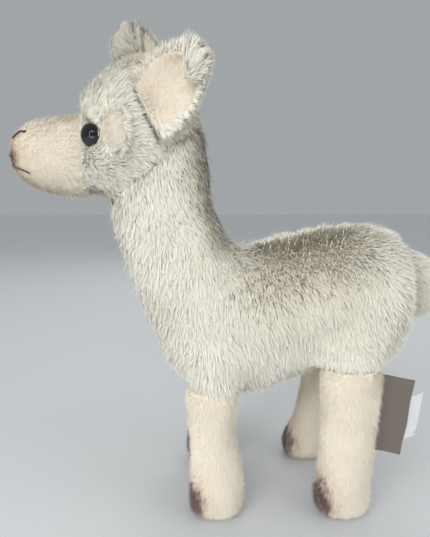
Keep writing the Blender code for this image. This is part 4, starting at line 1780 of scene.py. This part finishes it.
@dataclass
class Eye:
    """Safety eye: a turned dome with a rounded rim, on its shank.

    Attributes:
        side: Side of the animal.
        toe_out: Angle between the eye's axis and straight ahead, in degrees.
        height: Height of the dome, in metres.
        rim: Radius of the rim's edge, in metres.
        shank_share: Radius of the shank, as a share of the dome's.
        shank_depth: Length of the shank, in metres.
    """

    side: Side
    toe_out: float = 54.0
    height: float = 5.0 * MM
    rim: float = 0.5 * MM
    shank_share: float = 0.31
    shank_depth: float = 8.0 * MM

    def build(self, nodes: dict[str, bpy.types.Object]) -> None:
        """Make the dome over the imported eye.

        Args:
            nodes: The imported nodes.
        """
        name = "eye_" + self.side.word
        turn = math.radians(self.toe_out)
        axis = Vector((-math.cos(turn), self.side.value * math.sin(turn), 0.0))
        points = Surface.of(nodes[name].data).points
        along = points @ np.array(axis)
        pole = points[along.argmax()]
        seat = Vector(pole) - axis * self.height
        rim_points = points[along > along.max() - self.height - 0.1 * MM]
        off = rim_points - np.array(seat)
        radius = np.linalg.norm(off - dots(off, np.array(axis)) * np.array(axis), axis=1).max()
        shank = radius * self.shank_share
        profile = [(shank, -self.shank_depth), (shank, -0.4 * MM), (radius - self.rim, -self.rim)]
        profile += [(radius - self.rim + self.rim * math.sin(a), -self.rim * math.cos(a) * 0.6 + 0.1 * MM)
                    for a in np.linspace(0.3, 1.4, 4)]
        profile += [(radius * math.cos(a), self.height * math.sin(a)) for a in np.linspace(0.08, 1.56, 14)]
        link_turned(name + "_dome", profile, seat, axis, EyePlastic().material(), name)


def loft(bm: bmesh.types.BMesh, rings: Sequence[Sequence[bmesh.types.BMVert]]) -> None:
    """Join a row of rings to a closed tube.

    Args:
        bm: Mesh to add to.
        rings: Points of each ring, all as many.
    """
    around = len(rings[0])
    for low, high in zip(rings, rings[1:]):
        for k in range(around):
            n = (k + 1) % around
            bm.faces.new((low[k], low[n], high[n], high[k]))
    bm.faces.new(list(reversed(rings[0])))
    bm.faces.new(rings[-1])


def link_turned(name: str, profile: Sequence[tuple[float, float]], seat: Vector, axis: Vector,
                finish: bpy.types.Material, node: str) -> bpy.types.Object:
    """Turn a profile round an axis and put it in the scene.

    Args:
        name: Name of the piece.
        profile: Radius and distance along the axis of each point.
        seat: Point where the distance is 0.
        axis: Direction of the axis.
        finish: Its material.
        node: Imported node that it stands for.

    Returns:
        The piece.
    """
    around = 48
    turn = Vector((0, 0, 1)).rotation_difference(axis).to_matrix()
    bm = bmesh.new()
    rings = []
    for radius, height in profile:
        rings.append([bm.verts.new(seat + turn @ Vector((radius * math.cos(a), radius * math.sin(a), height)))
                      for a in (2 * math.pi * k / around for k in range(around))])
    loft(bm, rings)
    mesh = bpy.data.meshes.new(name)
    bm.to_mesh(mesh)
    bm.free()
    mesh.shade_smooth()
    piece = link(name, mesh, finish)
    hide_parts(node)
    return piece


@dataclass(frozen=True)
class WasherPlastic:
    """Moulded natural polypropylene: milky, with a soft sheen."""

    colour: str = "dcdad2"
    roughness: float = 0.45

    def dress(self, node: bpy.types.Object) -> None:
        """Give a packed washer its finish.

        Args:
            node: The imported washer.
        """
        made, tree, shader = principled("moulded_natural_polypropylene", self.roughness, specular=0.4)
        place = add_node(tree, "ShaderNodeTexCoord")
        haze = add_node(tree, "ShaderNodeTexNoise", inputs={
            "Vector": place.outputs["Object"], "Scale": 600.0})
        tree.links.new(ramp(tree, haze.outputs["Fac"], ((0.3, "d3d0c6"), (0.7, self.colour))),
                       shader.inputs["Base Color"])
        node.data.materials.clear()
        node.data.materials.append(made)
        LOG.info("%s: dressed", node.name)


@dataclass
class Stitches:
    """An embroidered line of short threads over the groove in the muzzle.

    Attributes:
        node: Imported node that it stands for.
        count: How many stitches.
        reach: Length of a stitch, as a share of their distance.
        slant: How far each stitch is turned across the line, in degrees.
        radius: Radius of the thread, in metres.
        arch: Height of a stitch's middle over its ends, in metres.
        evened: Rounds in which the line is evened out.
    """

    node: str
    count: int
    reach: float
    slant: float
    radius: float
    arch: float = 0.35 * MM
    evened: int = 8

    def spine(self, nodes: dict[str, bpy.types.Object]) -> Array:
        """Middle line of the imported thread, from end to end.

        Args:
            nodes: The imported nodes.

        Returns:
            Points along the line.
        """
        points = Surface.of(nodes[self.node].data).points
        middle = Surface.of(nodes["muzzle"].data).points.mean(axis=0)
        keys = np.arctan2(points[:, 1] - middle[1], middle[0] - points[:, 0])
        edges = np.linspace(keys.min(), keys.max(), 2 * self.count)
        rows = [points[(keys >= a) & (keys <= b)].mean(axis=0) for a, b in zip(edges, edges[1:])
                if np.any((keys >= a) & (keys <= b))]
        line = np.array(rows)
        for _ in range(self.evened):
            line[1:-1] = (line[:-2] + 2 * line[1:-1] + line[2:]) / 4
        return line

    def build(self, nodes: dict[str, bpy.types.Object], finish: bpy.types.Material) -> None:
        """Lay the stitches along the line.

        Args:
            nodes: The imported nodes.
            finish: Material of the thread.
        """
        line = self.spine(nodes)
        run = np.concatenate([[0], np.cumsum(np.linalg.norm(np.diff(line, axis=0), axis=1))])
        middle = np.array([Surface.of(nodes["muzzle"].data).points.mean(axis=0)])
        spots = np.linspace(0, run[-1], self.count)
        centres = np.stack([np.interp(spots, run, line[:, k]) for k in range(3)], axis=1)
        ahead = unit(np.gradient(centres, axis=0))
        out = unit(centres - middle)
        out = unit(out - ahead * dots(out, ahead))
        aside = np.cross(ahead, out)
        turn = math.radians(self.slant)
        half = run[-1] / self.count * self.reach / 2
        direction = ahead * math.cos(turn) + aside * math.sin(turn)
        bm = bmesh.new()
        for centre, way, up in zip(centres, direction, out):
            path = [Vector(centre + way * half * s + up * (1.0 - s * s) * self.arch)
                    for s in np.linspace(-1, 1, 7)]
            thread(bm, path, self.radius)
        mesh = bpy.data.meshes.new(self.node + "_stitches")
        bm.to_mesh(mesh)
        bm.free()
        mesh.shade_smooth()
        piece = link(self.node + "_stitches", mesh, finish)
        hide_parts(self.node)


def thread(bm: bmesh.types.BMesh, path: Sequence[Vector], radius: float, sides: int = 8) -> None:
    """Add a thread that tapers at both ends.

    Args:
        bm: Mesh to add to.
        path: Points of its middle line.
        radius: Radius in its middle.
        sides: Sides of its section.
    """
    rings = []
    for k, point in enumerate(path):
        ahead = (path[min(k + 1, len(path) - 1)] - path[max(k - 1, 0)]).normalized()
        turn = Vector((0, 0, 1)).rotation_difference(ahead).to_matrix()
        share = math.sin(math.pi * (k + 0.6) / (len(path) + 0.2)) ** 0.5
        rings.append([bm.verts.new(point + turn @ Vector((math.cos(a), math.sin(a), 0)) * radius * share)
                      for a in (2 * math.pi * j / sides for j in range(sides))])
    loft(bm, rings)


@dataclass
class Label:
    """A sewn-in tape label, a little wavy.

    Attributes:
        node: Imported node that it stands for.
        tape: Its tape.
        slot: The record's slot.
        flat: Width and length of the cut tape, in metres.
        held: How it is held, in the words of the frame.
        wave: Height of its waves, in metres.
        droop: How far its free edge hangs, in metres.
    """

    # Edges taller than this are cut into rows, so that the tape can wave
    TALL = 5 * MM
    CUTS = 12

    # Width of the part that the seam holds flat, and distance between two waves
    HELD_FLAT = 4 * MM
    RIPPLE = 14 * MM

    # Angle from which a fold is sharp, in degrees
    FOLD = 40

    node: str
    tape: LabelTape
    slot: Slot
    flat: tuple[float, float]
    held: str
    wave: float
    droop: float = 0.0

    def build(self, nodes: dict[str, bpy.types.Object]) -> None:
        """Make the label from its packed sheet.

        Args:
            nodes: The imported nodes.
        """
        bm = bmesh.new()
        bm.from_mesh(nodes[self.node].data)
        bmesh.ops.remove_doubles(bm, verts=bm.verts, dist=0.01 * MM)
        tall = [e for e in bm.edges if abs(e.verts[0].co.z - e.verts[1].co.z) > self.TALL]
        bmesh.ops.subdivide_edges(bm, edges=tall, cuts=self.CUTS, use_grid_fill=True)
        mesh = bpy.data.meshes.new(self.node + "_tape")
        bm.to_mesh(mesh)
        bm.free()
        points = Surface.of(mesh).points
        outer = step(points[:, 0], points[:, 0].min() + self.HELD_FLAT, points[:, 0].max())
        points[:, 1] += self.wave * outer * wander(points * [1, 0, 1], self.RIPPLE, 9)[:, 0]
        points[:, 2] -= self.droop * outer
        mesh.vertices.foreach_set("co", points.astype(np.float32).ravel())
        mesh.update()
        mesh.shade_smooth()
        mesh.set_sharp_from_angle(angle=math.radians(self.FOLD))
        piece = link(self.node + "_tape", mesh, self.tape.material())
        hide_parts(self.node)


@dataclass(frozen=True)
class Softbox:
    """A square lamp that faces the toy.

    Attributes:
        name: Name of the lamp.
        place: Its place, in metres.
        size: Its side, in metres.
        power: Its power, in watts.
        mirrored: Whether the glossy eyes mirror it.
    """

    name: str
    place: tuple[float, float, float]
    size: float
    power: float
    mirrored: bool = False


@dataclass
class Studio:
    """Plain pale floor, soft light and the camera.

    Attributes:
        lens_px: Focal length in pixels of the photograph's frame.
        frame_px: Longer side of that frame, in pixels.
        camera: Place of the camera, in metres.
        yaw: Turn of the camera to its right, in degrees.
        dip: Tilt of the camera downwards, in degrees.
        floor: sRGB colour of the floor.
        backdrop: sRGB colour behind the floor, as pale as the floor's far end.
        surroundings: sRGB colour of the light that comes from all round.
        aim: Point that every lamp faces, in metres.
        softboxes: The large lamps.
        ring_middle: Middle of the ring lamp that the left eye mirrors.
        ring_radius: Radius of that ring, in metres.
    """

    lens_px: float = 480.0
    frame_px: float = 537.0
    camera: tuple[float, float, float] = (BREAST_X, -0.308, 0.192)
    yaw: float = 3.0
    dip: float = 8.1
    floor: str = "c9cccd"
    backdrop: str = "a1a5a7"
    surroundings: str = "c5c7c9"
    aim: tuple[float, float, float] = (0.0, 0.0, 0.14)
    softboxes: tuple[Softbox, ...] = (
        Softbox("key_softbox", (-0.45, -1.05, 0.75), 0.8, 7.5),
        Softbox("fill_softbox", (0.9, -0.5, 0.6), 0.8, 3.0),
        Softbox("low_softbox", (-0.95, -0.75, 0.34), 0.5, 2.7),
        Softbox("rim_softbox", (0.2, 0.9, 0.9), 0.7, 3.5),
    )
    ring_middle: tuple[float, float, float] = (-0.150, -0.480, 0.224)
    ring_radius: float = 0.22

    def build(self) -> None:
        """Make the floor, the world, the lamps and the camera."""
        mesh = bpy.data.meshes.new("floor")
        reach = 6.0
        corners = [(-reach, -reach, 0), (reach, -reach, 0), (reach, reach, 0), (-reach, reach, 0)]
        mesh.from_pydata(corners, [], [(0, 1, 2, 3)])
        ground = bpy.data.objects.new("floor", mesh)
        bpy.context.scene.collection.objects.link(ground)
        made, _, shader = principled("painted_pale_floor", 0.7)
        shader.inputs["Base Color"].default_value = linear(self.floor)
        mesh.materials.append(made)
        self.light_world()
        for box in self.softboxes:
            self.light(box)
        self.ring()
        self.place_camera()

    def ring(self) -> None:
        """Small lamps on an open ring: the eye mirrors it as a thin C."""
        middle = np.array(self.ring_middle)
        ahead = unit(np.array(self.aim) - middle)
        aside = unit(np.cross(ahead, [0.0, 0.0, 1.0]))
        over = np.cross(aside, ahead)
        for index, angle in enumerate(np.radians(np.linspace(50, 310, 24))):
            near = aside if aside[1] < 0 else -aside
            place = middle + self.ring_radius * (near * math.cos(angle) + over * math.sin(angle))
            self.light(Softbox(f"ring_lamp_{index:02d}", tuple(place), 0.020, 0.024, mirrored=True))

    def light_world(self) -> None:
        """Even pale surroundings."""
        world = bpy.data.worlds.new("studio")
        world.use_nodes = True
        tree = world.node_tree
        path = add_node(tree, "ShaderNodeLightPath")
        seen = add_node(tree, "ShaderNodeMath", {"operation": "MAXIMUM"}, {
            0: path.outputs["Is Camera Ray"], 1: path.outputs["Is Glossy Ray"]})
        colour = add_node(tree, "ShaderNodeMixRGB", inputs={
            "Fac": seen.outputs["Value"], "Color1": linear(self.surroundings),
            "Color2": linear(self.backdrop)})
        tree.links.new(colour.outputs["Color"], tree.nodes["Background"].inputs["Color"])
        bpy.context.scene.world = world
        bpy.context.scene.view_settings.view_transform = "Standard"

    def light(self, box: Softbox) -> None:
        """Add a lamp, turned to the toy.

        Args:
            box: The lamp.
        """
        data = bpy.data.lights.new(box.name, "AREA")
        data.size = box.size
        data.energy = box.power
        item = bpy.data.objects.new(box.name, data)
        item.location = box.place
        item.visible_camera = False
        item.visible_glossy = box.mirrored
        way = Vector(self.aim) - Vector(box.place)
        item.rotation_euler = way.to_track_quat("-Z", "Y").to_euler()
        bpy.context.scene.collection.objects.link(item)

    def place_camera(self) -> None:
        """Put the camera where the photograph was taken from."""
        data = bpy.data.cameras.new("camera")
        data.sensor_width = 36.0
        data.lens = self.lens_px / self.frame_px * data.sensor_width
        data.clip_start = 0.01
        item = bpy.data.objects.new("camera", data)
        item.location = self.camera
        item.rotation_euler = (math.radians(90 - self.dip), 0.0, -math.radians(self.yaw))
        bpy.context.scene.collection.objects.link(item)
        bpy.context.scene.camera = item


def stuffed_sections(nodes: dict[str, bpy.types.Object]) -> list[Section]:
    """List the stuffed and sewn sections of the toy, in the order they are made.

    Args:
        nodes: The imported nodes.

    Returns:
        The sections.
    """
    sections: list[Section] = [Trunk(), Head(), Muzzle(), Tail()]
    corners = [(end, side) for end in End for side in Side]
    sections += [Leg.named(end, side, 500 + 10 * k) for k, (end, side) in enumerate(corners)]
    near_ear = EarPose.of(nodes["ear_left"], axis=(0.53, -0.20, 0.82), across=(0.80, -0.12, -0.58))
    far_ear = EarPose.of(nodes["ear_right"], axis=(-0.47, 0.20, 0.86), across=(-0.84, 0.10, -0.48))
    sections += [
        EarBack.named(Side.LEFT, near_ear, 601),
        EarBack.named(Side.RIGHT, far_ear, 611, folds=FAR_EAR_FOLDS, notches=FAR_EAR_NOTCHES, grey=0.52),
        EarLining.named(Side.LEFT, near_ear, 621, pink=(-0.050, -0.030, 0.242), fringe=(0.7, -0.3, 0.1)),
        EarLining.named(Side.RIGHT, far_ear, 631, pink=(-0.056, 0.028, 0.282), fringe=(0.0, 0.3, 0.2)),
    ]
    return sections + [EyePatch.named(side, 700 + 10 * k) for k, side in enumerate(Side)]


def main() -> None:
    """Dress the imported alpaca."""
    logging.basicConfig(level=logging.INFO, format="%(name)s %(message)s")
    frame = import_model()
    nodes = frame["nodes"]
    near = Neighbours(nodes)
    Studio().build()
    for section in stuffed_sections(nodes):
        section.build(nodes, near)
    for side in Side:
        Eye(side).build(nodes)
        WasherPlastic().dress(nodes["eye_washer_" + side.word])
    dark = EmbroideryThread().material()
    for side in Side:
        nostril = Stitches("nostril_" + side.word, count=16, reach=1.8, slant=4, radius=0.62 * MM)
        nostril.build(nodes, dark)
    Stitches("mouth", count=34, reach=1.9, slant=5, radius=0.52 * MM).build(nodes, dark)
    for label in (
        Label("woven_label", WOVEN, Slot.WOVEN, (0.039, 0.048), "folded", wave=1.3 * MM, droop=3.0 * MM),
        Label("care_label_long", PRINTED, Slot.PRINTED, (0.036, 0.028), "hung", wave=0.8 * MM),
        Label("care_label_short", PRINTED, Slot.PRINTED, (0.031, 0.028), "hung", wave=0.8 * MM),
    ):
        label.build(nodes)


if __name__ == "__main__":
    main()
